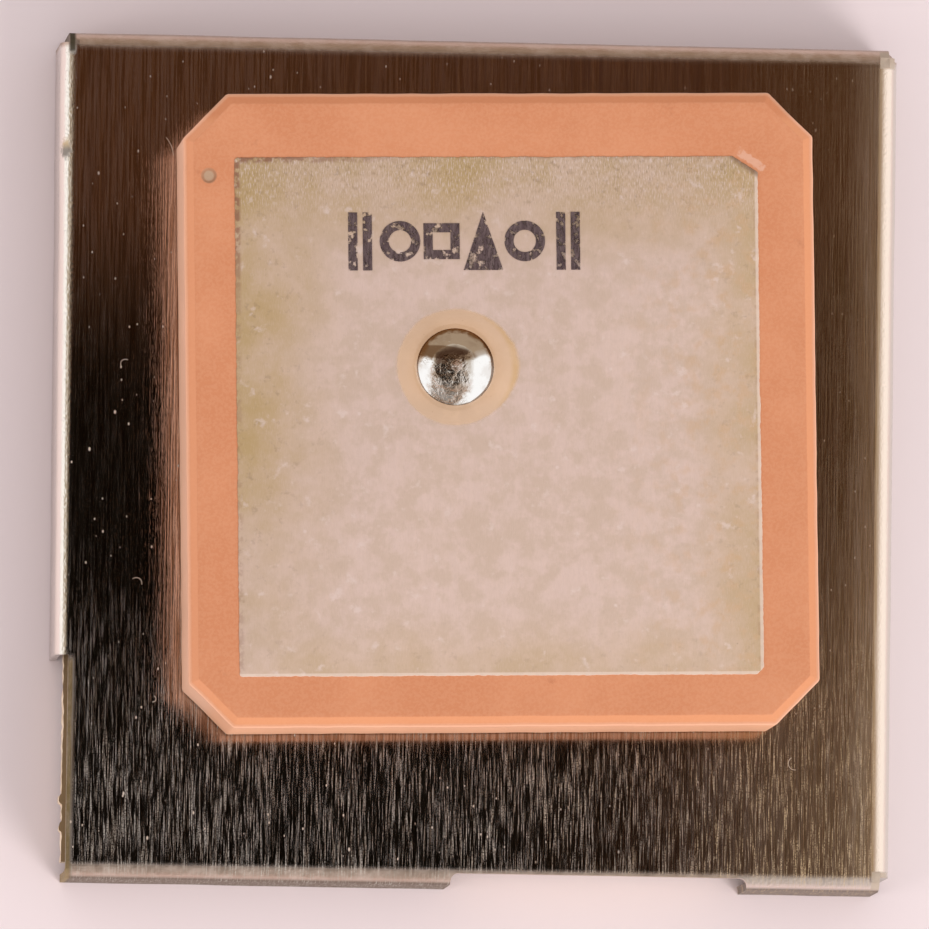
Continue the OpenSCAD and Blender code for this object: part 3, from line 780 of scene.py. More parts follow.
ceramicFacts = {
    "clay": ((0.705, 0.272, 0.128), (0.755, 0.31, 0.155)),
    "grain": (0.82, 0.40, 0.23),
    "smudge": (0.48, 0.16, 0.07),
    "dimpleRing": (0.38, 0.22, 0.13),
    "dimpleCore": (0.56, 0.39, 0.26),
    "scraped": (0.86, 0.52, 0.38),
    # the front and right sides of the block, then its left or back side; the walls, rim and land carry
    # painted light and shade
    "wall": ((0.97, 0.53, 0.33), (0.98, 0.60, 0.42)),
    "rim": ((0.96, 0.55, 0.37), (0.74, 0.42, 0.27)),
    # land tones with painted light at the front and left and painted shade at the back
    "land": ((0.86, 0.37, 0.18), (0.86, 0.37, 0.19), (0.72, 0.27, 0.12)),
}


def ceramicFinish(facts, tones):
    clay = Finish("ceramicFinish", roughness=0.55, Specular_IOR_Level=0.4)
    cloudy = clay.cloud(260, 0.35, 0.7)
    clay.colour(clay.mix(cloudy, *tones["clay"]))
    grains = clay.cloud(9000, 0.4, 0.6, 2)
    clay.paint(grains * 0.25, tones["grain"])
    clay.paint(clay.cloud(700, 0.66, 0.76) * 0.35, tones["smudge"])
    away = fromCentre(clay.axes(clay.at(*dimplePlace(facts))))
    ring = away.ramp(0.34 * mm, 0.27 * mm)
    clay.paint(ring * 0.7, tones["dimpleRing"])
    clay.paint(away.ramp(0.24 * mm, 0.16 * mm) * 0.8, tones["dimpleCore"])
    height = clay.axes().z
    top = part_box("ceramic_block")[1].z
    own = clay.axes(clay.at(*blockMiddle, facts["turn"]))
    half = facts["width"] / 2
    leftSide = own.x.ramp(1.2 * mm - half, 0.7 * mm - half)
    backSide = own.y.ramp(half - 1.2 * mm, half - 0.7 * mm) * (1 - leftSide)
    wall = height.ramp(top - 0.24 * mm, top - 0.32 * mm)
    rim = height.ramp(top - 0.28 * mm, top - 0.21 * mm) * height.ramp(top - 0.11 * mm, top - 0.17 * mm)
    land = height.ramp(top - 0.16 * mm, top - 0.1 * mm) * height.ramp(top - 0.01 * mm, top - 0.025 * mm)
    land *= 1 - ring
    scraped = clay.axes(clay.at(*facts["scrapedAt"], facts["scrapedTurn"], (0.62 * mm, 0.17 * mm, 1)))
    scrape = most(abs(scraped.x), abs(scraped.y))
    scrape = (scrape + clay.cloud(4000, 0.3, 0.7) * 0.45).ramp(1.3, 0.95)
    clay.paint(scrape * 0.6, tones["scraped"])
    # painted light: the walls lighter than the top, most on the left
    wallLightTone = clay.mix(leftSide, *tones["wall"])
    # painted highlight on the rim, with painted shade on it at the back
    rimLightShadeTone = clay.mix(backSide, *tones["rim"])
    # painted light on the land at the front and the left, painted shade at the back
    frontLandLit, leftLandLit, backLandShaded = tones["land"]
    landLightShadeTone = clay.mix(backSide, clay.mix(leftSide, frontLandLit, leftLandLit), backLandShaded)
    clay.paint(wall * 0.9, wallLightTone)
    clay.paint(rim * 0.8, rimLightShadeTone)
    clay.paint(land * 0.7, landLightShadeTone)
    clay.rough(cloudy.share(0.5, 0.62))
    clay.bump(grains, 0.000004, 0.6)
    return clay


finishPiece(
    ceramicBlock, ceramicFinish(blockFacts, ceramicFacts), ["ceramic_block"], smoothAngle=12
)


# foam pad under the block, squeezed nearly to its edges

padFacts = {"inset": 0.08 * mm, "bulge": 0.3}


def makePad(facts):
    bm = bmesh.new()
    low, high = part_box("adhesive_pad")
    inset = facts["inset"]
    profile = ((inset, low.z), (inset * (1 - facts["bulge"]), (low.z + high.z) / 2), (inset, high.z))
    rings = [addRing(bm, blockOutline(blockFacts, away), height) for away, height in profile]
    return boredPiece(
        "foamPad", bm, rings, blockFacts["bore"] / 2, blockFacts["steps"]["bore"], low.z, high.z
    )


foamPad = makePad(padFacts)


# patch of fired silver

patchFacts = {
    "width": 20.8 * mm,
    "depth": 20.6 * mm,
    "at": (-0.11 * mm, -0.27 * mm),  # from the middle of the block
    "trim": (1.0 * mm, 0.65 * mm),  # off the back edge and the right edge
    "nick": 0.28 * mm,
    "spacing": 0.08 * mm,
    "rag": 0.05 * mm,
    "ragSize": 0.18 * mm,
    "drift": 0.05 * mm,
    "driftSize": 2.2 * mm,
    "rounded": 0.12 * mm,
    "edgeFall": 0.02 * mm,
    "hole": 0.9 * mm,
    "holeSteps": 32,
}


def makePatch(facts):
    bm = bmesh.new()
    halfW, halfD = facts["width"] / 2, facts["depth"] / 2
    trimW, trimD = facts["trim"]
    corners = [
        (-halfW, -halfD), (halfW - facts["nick"], -halfD), (halfW, facts["nick"] - halfD),
        (halfW, halfD - trimD), (halfW - trimW, halfD), (-halfW, halfD),
    ]
    outline = finerOutline(roundedOutline(corners, facts["rounded"], 3), facts["spacing"])
    low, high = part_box("patch_electrode")
    rings = []
    fall = facts["edgeFall"]
    for inset, height in ((0, low.z), (fall * 0.5, high.z - 0.012 * mm), (fall * 2, high.z)):
        placed = []
        for point in outline:
            rough = wander(point, facts["ragSize"], facts["rag"], 3)
            slow = wander(point, facts["driftSize"], facts["drift"], 5)
            inward = -point.normalized() * (abs(rough.x) + abs(slow.x) + inset)
            placed.append(onBlock(point + inward + Vector(facts["at"])))
        rings.append(addRing(bm, placed, height))
    return boredPiece("silverPatch", bm, rings, facts["hole"] / 2, facts["holeSteps"], low.z, high.z)


silverPatch = makePatch(patchFacts)


silverFacts = {
    "clean": (0.77, 0.585, 0.51),
    "bright": (0.83, 0.68, 0.63),
    "olive": (0.53, 0.37, 0.165),
    "sand": (0.66, 0.475, 0.325),
    "mottle": (0.66, 0.50, 0.40),
    "dark": (0.27, 0.17, 0.11),
    "ochre": (0.66, 0.43, 0.25),
    # painted highlight tone of the right and front edges
    "bared": (0.92, 0.75, 0.64),
    "burnt": (0.30, 0.13, 0.08),
    "scraped": (0.26, 0.15, 0.09),
    "half": 10.3 * mm,
    "ends": (10.27 * mm, 10.17 * mm),  # where the bright right and front edges lie
}


def silverFinish(name, centre, facts, scrapedAt=None):
    silver = Finish(name, roughness=0.55, metallic=0.12, Specular_IOR_Level=0.35)
    silver.place = silver.at(centre.x, centre.y, blockFacts["turn"])
    spot = silver.axes()
    lines = silver.grain(8000, 1300)
    fine = silver.grain(24000, 4200)
    half = facts["half"]
    # how near the left, the right and the back edges are
    nearLeft = spot.x.ramp(-0.52 * half, -0.98 * half)
    nearRight = spot.x.ramp(0.68 * half, half, 0, 0.7)
    nearBack = spot.y.ramp(0.52 * half, 0.98 * half)
    nearFront = spot.y.ramp(-0.72 * half, -0.98 * half, 0, 0.45)
    side = most(nearLeft * spot.y.ramp(-0.9 * half, -0.1 * half, 0.35, 1), nearRight)
    edge = most(side, most(nearBack, nearFront))
    wash = silver.cloud(330, 0.3, 0.68, 5)
    darker = tuple(part * 0.965 for part in facts["clean"])
    silver.colour(silver.mix(lines["Lines"].ramp(0.36, 0.66), darker, facts["clean"]))
    mottled = silver.cloud(520, 0.3, 0.7, 6) * silver.cloud(2600, 0.3, 0.7, 4)
    silver.paint(mottled * 0.95, facts["mottle"])
    blotches = silver.cloud(1150, 0.42, 0.62, 5)
    silver.paint(blotches * 0.85, facts["mottle"])
    silver.paint(edge * 0.68, facts["sand"])
    silver.paint(edge * wash * 0.85, facts["olive"])
    ochre = silver.cloud(1500, 0.48, 0.66, 5) * spot.x.ramp(0.3 * half, 0.95 * half, 0, 0.5)
    silver.paint(ochre, facts["ochre"])
    # brushed light and dark strokes, stronger at the back edge
    brushed = spot.y.ramp(0.70 * half, 0.97 * half)
    strokes = fine["Lines"].ramp(0.5, 0.66) * (brushed * 0.6 + 0.12)
    silver.paint(strokes, facts["bright"])
    scored = fine["Lines"].ramp(0.46, 0.34) * (brushed * 0.35 + 0.05)
    silver.paint(scored, facts["dark"])
    dints = silver.cloud(3400, 0.56, 0.74, 4) * (edge * 0.3 + 0.05)
    silver.paint(dints, facts["dark"])
    pale = silver.cloud(1900, 0.60, 0.76, 3)
    silver.paint(pale * 0.55, facts["bright"])
    marks = silver.specks(1500, 0.07, 0.16) * (edge + 0.12)
    silver.paint(marks * 0.5, facts["dark"])
    dots = silver.specks(900, 0.09, 0.1)
    silver.paint(dots * 0.55, facts["bright"])
    # a dark line at the edges, broad at the back left corner, partly wear and partly painted shade beside the
    # paste's edge
    toCorner = spot.x.ramp(-0.2 * half, -0.95 * half) * spot.y.ramp(0.2 * half, 0.8 * half)
    outline = most(
        spot.y.ramp(half - 0.3 * mm, half - 0.12 * mm), spot.x.ramp(0.2 * mm - half, 0.05 * mm - half)
    )
    burnt = outline * toCorner * silver.cloud(3300, 0.35, 0.55, 2)
    nearest = most(abs(spot.x), abs(spot.y))
    worn = nearest.ramp(half - 0.2 * mm, half - 0.02 * mm) * silver.cloud(2700, 0.45, 0.6, 3)
    # the dark edge line: wear and painted shade
    silver.paint(most(burnt * 0.8, worn * 0.28), facts["burnt"])
    # painted highlight along the right and front edges
    endX, endY = facts["ends"]
    bared = most(spot.x.ramp(endX - 0.04 * mm, endX + 0.02 * mm), spot.y.ramp(0.04 * mm - endY, -endY))
    silver.paint(bared * 0.6, facts["bared"])
    if scrapedAt is not None:
        scraped = silver.axes(silver.at(*scrapedAt, blockFacts["scrapedTurn"], (0.75 * mm, 0.17 * mm, 1)))
        beside = scraped.y.ramp(-3.2, -1.8) * abs(scraped.x).ramp(1.2, 0.9)
        silver.paint(beside * 0.75, facts["scraped"])
    silver.rough(fine["Fine"].ramp(0.3, 0.7, 0.45, 0.65))
    silver.bump(lines["Lines"] + fine["Fine"] * 0.5, 0.00001, 0.35)
    return silver


patchSilver = silverFinish(
    "patchSilverFinish", middle("patch_electrode"), silverFacts, blockFacts["scrapedAt"]
)
finishPiece(silverPatch, patchSilver, ["patch_electrode"], smoothAngle=50)


# solder dome on the feed pin

domeFacts = {
    "radius": 1.66 * mm,
    "tall": 1.045,  # longer from front to back than across
    "shift": (-0.17 * mm, -0.05 * mm),  # of the flat crown
    "shoulder": 0.80 * mm,
    # share of the radius, degrees
    "slopes": ((0.0, 0.0), (0.38, 15.0), (0.55, 40.0), (0.9, 43.0), (1.0, 24.0)),
    "rings": 36,
    "around": 72,
    "tip": 0.16 * mm,
    "tipHeight": 0.35 * mm,
    "lump": 0.03 * mm,
    "lumpSize": 0.8 * mm,
    "pit": 0.05 * mm,
    "pitSize": 0.17 * mm,
    "head": 1.8 * mm,  # the pin's head, which the solder covers
    "headHeight": 0.3 * mm,
}


def slopeAt(slopes, share):
    for (start, low), (end, high) in zip(slopes, slopes[1:]):
        if share <= end:
            return low + (high - low) * (share - start) / (end - start)
    return slopes[-1][1]


def makeDome(facts):
    bm = bmesh.new()
    low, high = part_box("solder_dome")
    count = facts["rings"]
    falls = [math.tan(math.radians(slopeAt(facts["slopes"], (step + 0.5) / count))) for step in range(count)]
    rings = []
    for step in range(count, 0, -1):
        share = step / count
        height = facts["shoulder"] * sum(falls[step:]) / sum(falls)
        ring = []
        for point in ringPoints((0, 0), 1, facts["around"]):
            flat = point * facts["radius"] * share + Vector(facts["shift"]) * (1 - share)
            tip = facts["tipHeight"] * math.exp(-((flat.length / facts["tip"]) ** 4))
            place = Vector((flat.x, flat.y, height))
            lump = noise.noise(place / facts["lumpSize"]) * facts["lump"] * (1 - share**4)
            crown = max(0, 1 - (flat - Vector((-0.2 * mm, -0.45 * mm))).length / (0.95 * mm))
            pit = max(0, noise.noise(place / facts["pitSize"] + Vector((9, 2, 4))))
            pit *= facts["pit"] * min(1, crown * 2)
            rise = max(0, height - abs(lump) - pit) + tip * (1 - pit / facts["pit"] * 0.5)
            inward = 1 - abs(wander(point * facts["radius"], 0.8 * mm, 0.03, 2).x)
            across, along = flat.x * inward, flat.y * inward * facts["tall"]
            rise = min(low.z + rise, high.z - 0.002 * mm)
            ring.append(bm.verts.new((feedAt.x + across, feedAt.y + along, rise)))
        rings.append(ring)
    addWalls(bm, rings)
    peak = bm.verts.new((feedAt.x + facts["shift"][0], feedAt.y + facts["shift"][1], high.z - 0.004 * mm))
    for index in range(facts["around"]):
        bm.faces.new((rings[-1][index], rings[-1][(index + 1) % facts["around"]], peak))
    recess = ringPoints(feedAt, facts["head"] / 2, 40)
    mouth, roof = addRing(bm, recess, low.z), addRing(bm, recess, low.z + facts["headHeight"])
    addLid(bm, rings[0], mouth)
    addWall(bm, mouth, roof)
    addLid(bm, roof)
    return closedPiece("solderDome", bm)


solderDome = makeDome(domeFacts)


solderFacts = {
    "bright": (0.97, 0.95, 0.93),
    "dull": (0.62, 0.54, 0.48),
    "smear": (0.46, 0.34, 0.25),
    # painted reflection of the dark overhead on the dome
    "band": (0.38, 0.26, 0.17),
    # amber at the dome's foot: flux and painted reflection of the flux film
    "amber": (0.40, 0.23, 0.115),
    # near black: painted shade in the pits
    "pit": (0.06, 0.045, 0.035),
    "crumb": (0.9, 0.84, 0.79),
    "crown": ((-0.25 * mm, -0.6 * mm), (0.9 * mm, 1.15 * mm, 1)),  # the rough crown's middle and its size
    "bandAt": ((-0.5 * mm, 0.52 * mm), (1.25 * mm, 0.27 * mm, 1)),
    "bandTurn": -6,
}


def solderFinish(name, facts, crown=None):
    solder = Finish(name, roughness=0.12, metallic=1.0)
    dull = solder.cloud(1600, 0.45, 0.62)
    solder.colour(solder.mix(dull * 0.3, facts["bright"], facts["dull"]))
    shadedPits = solder.specks(4200, 0.14, 0.3)
    crumbs = solder.specks(2600, 0.16, 0.25)
    height = dull - shadedPits
    if crown is not None:
        (x, y), size = crown
        reach = fromCentre(solder.axes(solder.at(feedAt.x + x, feedAt.y + y, 0, size)))
        centre = (reach + solder.cloud(2600, 0.3, 0.7, 3) * 0.25).ramp(1.15, 0.85)
        shadedPits *= centre
        crumbs *= centre
        rugged = solder.cloud(5200, 0.3, 0.7, 3) * centre
        height = rugged * 2.4 + dull * 0.5
        smears = solder.cloud(2300, 0.38, 0.6, 3)
        solder.paint(centre * smears.share(0.85, 0.3), facts["smear"])
        solder.rough(centre.share(0.07, 0.16))
        # amber flux creeping up the foot, mostly at the back, partly painted reflection of the flux film
        # round it
        own = solder.axes(solder.at(feedAt.x, feedAt.y))
        away = fromCentre(own)
        behind = own.y.ramp(-0.4 * mm, 0.6 * mm)
        # painted reflection of the dark overhead: a dark brown band across the upper half
        (x, y), size = facts["bandAt"]
        band = solder.axes(solder.at(feedAt.x + x, feedAt.y + y, facts["bandTurn"], size))
        within = (band.x**2 + band.y**2 + rugged * 0.3).ramp(1.35, 0.75)
        solder.paint(within * 0.85, facts["band"])
        away = away + smears * (0.1 * mm)
        thick = away.ramp(domeFacts["radius"] * 0.80, domeFacts["radius"] * 0.92)
        thin = away.ramp(domeFacts["radius"] * 0.93, domeFacts["radius"], 0, 0.6)
        stained = most(thick * behind, thin)
        # amber flux and painted reflection of the flux film
        solder.paint(stained, facts["amber"])
    # painted shade in the pits
    solder.paint(shadedPits, facts["pit"])
    solder.paint(crumbs, facts["crumb"])
    solder.bump(height, 0.000012, 0.8)
    return solder


domeSolder = solderFinish("domeSolderFinish", solderFacts, solderFacts["crown"])
finishPiece(solderDome, domeSolder, ["solder_dome"], smoothAngle=60)


# film of flux round the dome

fluxFacts = {
    "inner": 1.53 * mm,
    "outer": 2.36 * mm,
    "height": 0.15 * mm,
    "edge": 0.004 * mm,
    "sunk": 0.003 * mm,  # its underside in the silver, clear of the silver's top
    "lobe": 0.26 * mm,
    "lobeTurn": 8,  # degrees from the right
    "lobeWidth": 38,
    "around": 120,
    "rings": 8,
    "wander": 0.05 * mm,
    "wanderSize": 1.3 * mm,
}


def filmEdge(facts, turn, direction):
    # how far the film reaches from the pin
    away = (turn - facts["lobeTurn"] + 180) % 360 - 180
    lobe = facts["lobe"] * math.exp(-((away / facts["lobeWidth"]) ** 2))
    drift = wander(direction * facts["outer"], facts["wanderSize"], facts["wander"], 8).x
    return facts["outer"] + lobe + min(0, drift)


def makeFlux(facts):
    bm = bmesh.new()
    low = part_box("flux_ring")[0]
    count = facts["around"]
    rings = []
    for step in range(facts["rings"] + 1):
        share = step / facts["rings"]
        ring = []
        for index in range(count):
            turn = 360 * index / count
            direction = Vector((math.cos(math.radians(turn)), math.sin(math.radians(turn))))
            reach = facts["inner"] + (filmEdge(facts, turn, direction) - facts["inner"]) * share
            rise = facts["edge"] + (facts["height"] - facts["edge"]) * (1 - share**2) ** 1.3
            x, y = feedAt.x + direction.x * reach, feedAt.y + direction.y * reach
            ring.append(bm.verts.new((x, y, low.z + rise)))
        rings.append(ring)
    addWalls(bm, rings)
    underInner = [bm.verts.new((vert.co.x, vert.co.y, low.z - facts["sunk"])) for vert in rings[0]]
    underOuter = [bm.verts.new((vert.co.x, vert.co.y, low.z - facts["sunk"])) for vert in rings[-1]]
    addWall(bm, rings[-1], underOuter)
    addWall(bm, underOuter, underInner)
    addWall(bm, underInner, rings[0])
    film = closedPiece("fluxFilm", bm)
    share = film.data.attributes.new("toEdge", "FLOAT", "POINT")
    for vert, place in zip(share.data, film.data.vertices):
        away = place.co.xy - feedAt.xy
        turn = math.degrees(math.atan2(place.co.y - feedAt.y, place.co.x - feedAt.x))
        edge = filmEdge(facts, turn, away.normalized())
        vert.value = (away.length - facts["inner"]) / (edge - facts["inner"])
    return film


fluxFilm = makeFlux(fluxFacts)


amberFacts = {
    "film": ((0.74, 0.485, 0.30), (0.74, 0.50, 0.325)),  # beside the dome and farther out
    "lobe": (0.63, 0.39, 0.155),
    "front": (0.63, 0.435, 0.29),
    "cloud": (0.80, 0.55, 0.36),
    "grit": (0.36, 0.2, 0.1),
}


def fluxFinish(facts):
    amber = Finish("fluxFinish", roughness=0.25, Specular_IOR_Level=0.4, Coat_Weight=0.15, Coat_Roughness=0.1)
    spot = amber.axes(amber.at(feedAt.x, feedAt.y))
    reach = fromCentre(spot)
    lobe = reach.ramp(2.15 * mm, 2.4 * mm) * spot.x.ramp(0.3 * mm, 1.6 * mm)
    amber.colour(amber.mix(reach.ramp(1.6 * mm, 2.1 * mm), *facts["film"]))
    amber.paint(lobe * 0.7, facts["lobe"])
    amber.paint(spot.y.ramp(-0.8 * mm, -1.9 * mm) * 0.8, facts["front"])
    cloudy = amber.cloud(1300, 0.45, 0.65)
    amber.paint(cloudy * 0.3, facts["cloud"])
    grit = amber.specks(5200, 0.14, 0.08)
    amber.paint(grit * 0.4, facts["grit"])
    share = amber.mark("toEdge")
    drift = amber.cloud(2000, 0.2, 0.8, 2) * 0.06
    edge = (share + drift).ramp(0.86, 1.06, 0.86, 0)
    # seen from above only, and throwing no shadow, as a clear film
    rays = valuesOf(addNode(amber.tree, "ShaderNodeLightPath"))
    inside = valuesOf(addNode(amber.tree, "ShaderNodeNewGeometry"))["Backfacing"]
    hidden = most(rays["Is Shadow Ray"], rays["Is Diffuse Ray"], inside)
    join(edge * (1 - hidden), amber.inputs["Alpha"])
    amber.bump(cloudy, 0.00001, 0.5)
    return amber


finishPiece(fluxFilm, fluxFinish(amberFacts), ["flux_ring"], smoothAngle=25)


# row of inked shapes

inkMark = newPiece("inkShapes", cadShape("ink_mark"))


inkFacts = {"tones": ((0.09, 0.055, 0.06), (0.16, 0.11, 0.11)), "thin": 0.55}


def inkFinish(facts):
    ink = Finish("inkFinish", roughness=0.6)
    lines = ink.grain(9000, 1500)
    ink.colour(ink.mix(lines["Lines"].ramp(0.35, 0.65), *facts["tones"]))
    gaps = ink.cloud(3800, 0.38, 0.5, 3)
    thin = lines["Fine"].ramp(0.3, 0.5)
    join(gaps * most(thin, facts["thin"]), ink.inputs["Alpha"])
    ink.bump(gaps, 0.000004, 0.5)
    return ink


finishPiece(inkMark, inkFinish(inkFacts), ["ink_mark"])


# circuit board

boardFacts = {
    "step": 0.2 * mm,
    "rag": 0.1 * mm,
    "ragSize": 0.35 * mm,
    "edgeFrom": 16.0 * mm,
    "maskInset": 0.28 * mm,
    "mask": (0.022, 0.115, 0.045),
    "copper": (0.05, 0.20, 0.085),
    "cloud": (0.03, 0.15, 0.06),
    "laminate": ((1.0, 0.86, 0.66), (0.80, 0.60, 0.42)),
    # top of the bare rim: flux with the can's painted shadow
    "rim": (0.36, 0.23, 0.117),
    "tracks": {"Scale": 620.0, "Mortar Size": 0.09, "Bias": 0.0, "Brick Width": 0.9, "Row Height": 0.35},
}


def makeBoard(facts):
    bm = cadShape("main_board")
    low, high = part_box("main_board")
    count = int((high.y - low.y) / facts["step"])
    for step in range(1, count):
        cutAcross(bm, 1, low.y + (high.y - low.y) * step / count)
    for vert in bm.verts:
        if abs(vert.co.x) > facts["edgeFrom"]:
            drift = wander((vert.co.x * 0.1, vert.co.y), facts["ragSize"], facts["rag"], vert.co.z / mm)
            vert.co.x -= math.copysign(abs(drift.x), vert.co.x)
    return closedPiece("circuitBoard", bm)


def boardFinish(facts):
    board = Finish("boardFinish", roughness=0.35)
    low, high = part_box("main_board")
    spot = board.axes()
    tracks = addNode(board.tree, "ShaderNodeTexBrick", {"Vector": board.at(turn=45), **facts["tracks"]})
    pour = board.cloud(420, 0.48, 0.5, 0)
    lines = (1 - Value(tracks.outputs["Fac"])) * pour
    board.colour(board.mix(lines, facts["mask"], facts["copper"]))
    cloudy = board.cloud(900, 0.35, 0.7)
    board.paint(cloudy * 0.25, facts["cloud"])
    inset = facts["maskInset"]
    insideX = abs(spot.x).ramp(high.x - inset, high.x - inset - 0.04 * mm)
    insideY = abs(spot.y).ramp(high.y - inset, high.y - inset - 0.04 * mm)
    top = spot.z.ramp(high.z - 0.03 * mm, high.z - 0.01 * mm)
    bottom = spot.z.ramp(low.z + 0.03 * mm, low.z + 0.01 * mm)
    masked = insideX * insideY * most(top, bottom)
    weave = board.cloud(4200, 0.35, 0.65, 2)
    bare = board.mix(weave, *facts["laminate"])
    # the bare rim's top browner: partly flux and partly painted shadow of the can
    bare = board.mix(top, bare, facts["rim"])
    board.colour(board.mix(masked, bare, board.tone))
    board.rough(masked.share(0.75, 0.35))
    board.bump(lines + weave * 0.3, 0.00002, 0.5)
    return board


circuitBoard = makeBoard(boardFacts)
finishPiece(circuitBoard, boardFinish(boardFacts), ["main_board"], smoothAngle=40)


# finishes by slot


def plainFinish(name, dark, light, speckled, roughness, metallic, cloudScale, grainScale, depth):
    plain = Finish(name, roughness=sum(roughness) / 2, metallic=metallic)
    cloudy = plain.cloud(cloudScale, 0.35, 0.7)
    grains = plain.cloud(grainScale, 0.4, 0.6, 2)
    plain.colour(plain.mix(cloudy, dark, light))
    plain.paint(grains * 0.3, speckled)
    plain.rough(cloudy.share(*roughness))
    plain.bump(grains, depth, 0.6)
    return plain


plainFacts = {
    # a dark, a light and a speckled tone, then roughness and metallic,
    # then the sizes of clouds and grains and the depth of the grains
    "adhesive": (
        "padFinish", (0.66, 0.63, 0.55), (0.74, 0.71, 0.63), (0.8, 0.77, 0.7),
        (0.6, 0.75), 0.0, 400, 5000, 0.00001,
    ),
    "pin_metal": (
        "pinFinish", (0.62, 0.57, 0.5), (0.75, 0.7, 0.63), (0.5, 0.44, 0.37),
        (0.25, 0.4), 1.0, 900, 6000, 0.000005,
    ),
    "lead_metal": (
        "leadFinish", (0.7, 0.69, 0.66), (0.8, 0.79, 0.76), (0.6, 0.58, 0.55),
        (0.25, 0.4), 1.0, 900, 8000, 0.000004,
    ),
    "gold_plate": (
        "goldFinish", (0.8, 0.56, 0.22), (0.88, 0.66, 0.3), (0.7, 0.45, 0.16),
        (0.2, 0.32), 1.0, 900, 8000, 0.000003,
    ),
    "white_ceramic": (
        "whiteCeramicFinish", (0.72, 0.7, 0.64), (0.8, 0.78, 0.72), (0.85, 0.83, 0.79),
        (0.5, 0.62), 0.0, 700, 8000, 0.000005,
    ),
    "lid_metal": (
        "lidFinish", (0.62, 0.6, 0.57), (0.72, 0.7, 0.66), (0.5, 0.48, 0.45),
        (0.25, 0.36), 1.0, 700, 9000, 0.000003,
    ),
    "ferrite": (
        "ferriteFinish", (0.06, 0.06, 0.062), (0.085, 0.084, 0.085), (0.12, 0.12, 0.12),
        (0.55, 0.7), 0.0, 900, 7000, 0.000008,
    ),
    "socket_plastic": (
        "socketFinish", (0.74, 0.69, 0.57), (0.8, 0.76, 0.65), (0.86, 0.82, 0.73),
        (0.42, 0.55), 0.0, 500, 7000, 0.000006,
    ),
}
plainFinishes = {slotName: plainFinish(*facts) for slotName, facts in plainFacts.items()}
plainFinishes["fired_silver"] = silverFinish("groundSilverFinish", middle("ground_electrode"), silverFacts)
plainFinishes["solder"] = solderFinish("jointSolderFinish", solderFacts)


# finishes with a mark of their own


markFacts = {
    "plastic": ((0.018, 0.018, 0.02), (0.028, 0.028, 0.03)),
    "plasticGrain": (0.05, 0.05, 0.052),
    "dimple": (0.008, 0.008, 0.009),
    "mouldLine": (0.06, 0.06, 0.062),
    "tinned": ((0.72, 0.70, 0.66), (0.84, 0.82, 0.78)),
    "yellow": ((0.66, 0.36, 0.05), (0.74, 0.43, 0.08)),
    "stripe": (0.16, 0.07, 0.03),
    "barEnds": (0.78, 0.76, 0.72),
    "gold": ((0.80, 0.56, 0.22), (0.88, 0.66, 0.30)),
    "white": ((0.72, 0.70, 0.64), (0.82, 0.80, 0.75)),
}


def packageFinish(node):
    # moulded black plastic with a dimple beside its first lead and a line where the mould closed
    low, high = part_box(node)
    width = min(high.x - low.x, high.y - low.y)
    moulded = Finish(pieceName(node) + "Finish", roughness=0.55)
    cloudy = moulded.cloud(600, 0.35, 0.7)
    grains = moulded.cloud(14000, 0.35, 0.65, 2)
    moulded.colour(moulded.mix(cloudy, *markFacts["plastic"]))
    moulded.paint(grains * 0.3, markFacts["plasticGrain"])
    inset = width * 0.14
    dimple = moulded.axes(moulded.at(low.x + inset, high.y - inset))
    bowl = fromCentre(dimple).ramp(width * 0.07, width * 0.05)
    moulded.paint(bowl * 0.6, markFacts["dimple"])
    line = abs(moulded.axes().z - (low.z + high.z) / 2).ramp(0.03 * mm, 0.01 * mm)
    moulded.paint(line * 0.5, markFacts["mouldLine"])
    moulded.rough(bowl.share(0.62, 0.3))
    moulded.bump(grains * 0.2 - bowl, 0.00003, 0.6)
    return moulded


def endedFinish(name, body, shine):
    # a chip's body between tinned ends, which the attribute metal marks
    ended = Finish(name, roughness=0.5)
    metal = ended.mark("metal")
    cloudy = ended.cloud(2500, 0.35, 0.7)
    grains = ended.cloud(11000, 0.4, 0.6, 2)
    ended.colour(ended.mix(cloudy, body, tuple(c * 1.25 for c in body)))
    solder = ended.mix(grains, *markFacts["tinned"])
    ended.paint(metal, solder)
    ended.metal(metal)
    ended.rough(metal.share(shine, 0.25) + grains * 0.1)
    ended.bump(grains + cloudy, 0.000006, 0.6)
    return ended


def tantalumFinish(node):
    # moulded yellow bars with a brown stripe at the right end, tinned where the leads come out
    low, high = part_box(node)
    bar = Finish("tantalumFinish", roughness=0.45)
    spot = bar.axes()
    cloudy = bar.cloud(700, 0.35, 0.7)
    grains = bar.cloud(8000, 0.4, 0.6, 2)
    bar.colour(bar.mix(cloudy, *markFacts["yellow"]))
    stripe = spot.x.ramp(high.x - 0.90 * mm, high.x - 0.86 * mm)
    stripe *= spot.x.ramp(high.x - 0.42 * mm, high.x - 0.46 * mm)
    bar.paint(stripe * 0.9, markFacts["stripe"])
    ends = most(
        spot.x.ramp(low.x + 0.13 * mm, low.x + 0.10 * mm), spot.x.ramp(high.x - 0.13 * mm, high.x - 0.10 * mm)
    )
    bar.paint(ends, markFacts["barEnds"])
    bar.metal(ends)
    bar.rough(ends.share(0.48, 0.28))
    bar.bump(grains, 0.000008, 0.6)
    return bar


def filterFinish(node):
    # a white ceramic case under a gold lid
    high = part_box(node)[1]
    case = Finish("filterFinish", roughness=0.5)
    grains = case.cloud(7000, 0.4, 0.6, 2)
    lid = case.axes().z.ramp(high.z - 0.22 * mm, high.z - 0.20 * mm)
    gold = case.mix(grains, *markFacts["gold"])
    case.colour(case.mix(lid, case.mix(grains, *markFacts["white"]), gold))
    case.metal(lid)
    case.rough(lid.share(0.58, 0.24))
    case.bump(grains, 0.000004, 0.6)
    return case


# pieces with rounded edges


